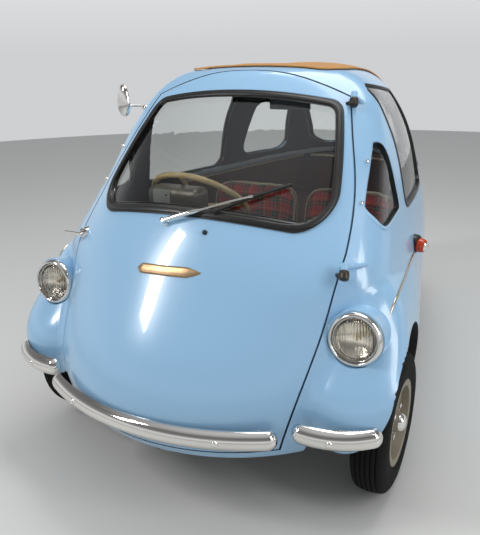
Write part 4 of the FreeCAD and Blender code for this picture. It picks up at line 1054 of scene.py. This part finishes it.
POD_X, POD_Y, DIAL_HEIGHT = -0.145, -0.735, 0.87
SCREW_PLACES = ((-0.192, 0.83), (-0.163, 0.912))
SCREW = softened([(-0.002, 0.0002), (-0.002, 0.0035), (0.001, 0.0035), (0.0018, 0.0002)], 1)
BEZEL = softened([(-0.002, 0.04), (-0.002, 0.046), (0.004, 0.046), (0.006, 0.043),
                  (0.004, 0.04)], 1, True)
DIAL = [(-0.002, 0.0003), (-0.002, 0.041), (0.002, 0.041), (0.0022, 0.0003)]
MARK = mirrored([(0.0008, 0), (0.0008, 0.0006)])
cream = finish_of("cream_rim", (0.66, 0.49, 0.22), 0.82, 0.25, mottle=14, coat=0.4, spread=0.08)
column_grey = finish_of("column_grey", (0.085, 0.082, 0.075), 0.8, 0.38, metallic=0.3, mottle=12,
                        grain=0.1)
nacelle_bronze = finish_of("nacelle_bronze", (0.17, 0.15, 0.12), 0.75, 0.36, metallic=0.6,
                           mottle=14, grain=0.15)
sheet_grey = finish_of("cover_plate", (0.36, 0.37, 0.33), 0.9, 0.45, metallic=0.2, mottle=20,
                       grain=0.15)
dial_black = finish_of("dial_black", (0.015, 0.015, 0.016), 0.9, 0.3)
dial_white = finish_of("dial_white", (0.75, 0.73, 0.66), 0.95, 0.4)
wear(cream, "steering_wheel")
wear(column_grey, "steering_column")
wear(nacelle_bronze, "instrument_pod")
cover = slab(oblong((-0.216, 0.806), (-0.15, 0.93), 0.004), POD_Y - 0.0445, POD_Y - 0.0467)
piece("nacelle_plate", [cover], "car_body", sheet_grey)
piece("nacelle_screws", [lathe(SCREW, (x, POD_Y - 0.0468, z), (0, -1, 0), 16)
                         for x, z in SCREW_PLACES], "car_body", rubber)
dial_at = np.array([POD_X, POD_Y + 0.045, DIAL_HEIGHT])
piece("dial_bezel", [lathe(BEZEL, dial_at, (0, 1, 0), 48, True)], "car_body", bright)
piece("dial_face", [lathe(DIAL, dial_at, (0, 1, 0), 48)], "car_body", dial_black)
marks = []
for turn in np.radians(np.arange(-130, 131, 20)):
    way = np.array([math.sin(turn), 0, math.cos(turn)])
    mark = np.array([0.03, 0.037])[:, None] * way + dial_at + (0, 0.0025, 0)
    marks.append(carried(mark, (0, 1, 0), MARK))
needle = np.array([-0.008, 0.03])[:, None] * np.array([-0.6, 0, -0.8]) + dial_at + (0, 0.003, 0)
marks.append(carried(needle, (0, 1, 0), [(0.001, 0), (0.0004, 0.0008), (-0.001, 0)]))
piece("dial_marks", marks, "car_body", dial_white)

# Running gear. Ribbed cross-ply tyres on painted steel wheels with domed caps and nuts; black axle
# parts, a cast engine, a dull exhaust and a rubber mat on the floor.

for metal, wearers in (
    (finish_of("axle_black", (0.03, 0.03, 0.032), 1.5, 0.5, mottle=20, grain=0.3),
     ("front_suspension", "rear_suspension", "knuckle_left", "knuckle_right", "track_rod")),
    (finish_of("cast_metal", (0.3, 0.3, 0.29), 0.75, 0.5, metallic=0.7, mottle=20, grain=0.5),
     ("engine_block",)),
    (finish_of("dull_steel", (0.16, 0.13, 0.11), 0.6, 0.55, metallic=0.7, mottle=24, grain=0.3),
     ("exhaust",)),
    (finish_of("floor_mat", (0.035, 0.032, 0.03), 0.7, 0.8, mottle=30, grain=0.6), ("floor_pan",)),
    (finish_of("wheel_paint", (0.25, 0.215, 0.155), 0.72, 0.42, mottle=14, grain=0.12),
     ("wheel_front_left", "wheel_front_right", "wheel_rear")),
):
    wear(metal, *wearers)
tyre_black = finish_of("tyre_rubber", (0.007, 0.007, 0.007), 1.7, 0.86, mottle=16, grain=0.35)
feed(shader_of(tyre_black), {"Specular IOR Level": 0.14})

BEAD, TREAD = 0.128, 0.233
FLANK = softened([(-0.046, 0.0), (-0.0505, 0.1), (-0.0545, 0.3), (-0.056, 0.52), (-0.0535, 0.74),
                  (-0.047, 0.9), (-0.035, 0.97), (-0.018, 0.995), (0.0, 1.0)], 2)
GROOVES = (-0.03, -0.015, 0.0, 0.015, 0.03)
GROOVE_DEPTH = 0.0055
SIDE_BANDS = (0.162, 0.203)
WHEELS = {"front_left": ((0.61, -0.74, 0.233), 1), "front_right": ((-0.61, -0.74, 0.233), -1),
          "rear": ((0, 1.02, 0.233), 1)}
HUB_CAP = softened([(-0.004, 0.0003), (-0.004, 0.03), (0.004, 0.03), (0.016, 0.024),
                    (0.021, 0.012), (0.022, 0.0003)], 2)
NUT = [(-0.01, 0.0003), (-0.01, 0.0085), (0.004, 0.0085), (0.006, 0.006), (0.0065, 0.0003)]
NUT_CIRCLE = 0.052


def tyre_section():
    """Closed section (across, radius): flanks with two raised bands, a grooved tread and the inside
    over the rim."""
    half = FLANK * (1, TREAD - BEAD)
    across, height = resampled(np.vstack([half, half[-2::-1] * (-1, 1)]), 150).T
    radius = BEAD + height
    grooved = sum(np.exp(-((across - groove) / 0.0022) ** 4) for groove in GROOVES)
    radius = radius - GROOVE_DEPTH * np.clip(grooved * (radius > 0.215), 0, 1)
    raised = sum(np.exp(-((radius - band) / 0.0016) ** 2) for band in SIDE_BANDS)
    across = across + np.sign(across) * 0.001 * raised
    inside = [(0.046, 0.001), (0.04, 0.03), (0, 0.034), (-0.04, 0.03), (-0.046, 0.001)]
    return np.vstack([np.stack([across, radius], 1), np.array(inside) + (0, BEAD)])


TYRE = tyre_section()
for spot, (centre, side) in WHEELS.items():
    way = np.array([side, 0, 0])
    body = spot + "_wheel"
    piece("tyre_ribbed_" + spot, [lathe(TYRE, centre, way, 160, ring=True)], body, tyre_black,
          ("tyre_" + spot,), sharp=55)
    small = [lathe(HUB_CAP, centre + 0.047 * way, way, 40)]
    for turn in np.radians([45, 135, 225, 315]):
        around = NUT_CIRCLE * np.array([0, math.cos(turn), math.sin(turn)])
        small.append(lathe(NUT, centre + 0.036 * way + around, way, 6))
    piece("wheel_cap_" + spot, small, body, bright, sharp=30)

# Tail. A blank black number plate in a bright edge and two rows of pressed louvres in the lid.

PLATE_FACE = 1.2555
LOUVRE_POINTS = 18
LOUVRE = [(0.008, -0.001), (0.005, 0.0045), (0.0, 0.007), (-0.005, 0.0072), (-0.0062, 0.006),
          (-0.006, -0.001)]
wear(finish_of("plate_black", (0.02, 0.02, 0.021), 1.4, 0.35, mottle=8, spread=0.08),
     "number_plate")
outline = oblong((-0.148, 0.41), (0.148, 0.502), 0.006, 96)
edge = carried(places(outline[:, 0], PLATE_FACE, outline[:, 1]), (0, 1, 0),
               rounded_bar(0.004, 0.0016, 3), closed=True)
piece("plate_edge", [edge], "car_body", bright)
louvres = []
for side in (1, -1):
    for height in np.linspace(0.575, 0.7, 6):
        along = side * np.linspace(0.03, 0.15, LOUVRE_POINTS)
        skin, normal = from_behind(along, height, "engine_lid")
        louvres.append(carried(skin, normal, [(side * x, y) for x, y in LOUVRE],
                               scale=tapered(LOUVRE_POINTS, 2.5, 0.12)))
piece("lid_louvres", louvres, "lid", body_paint, sharp=60)
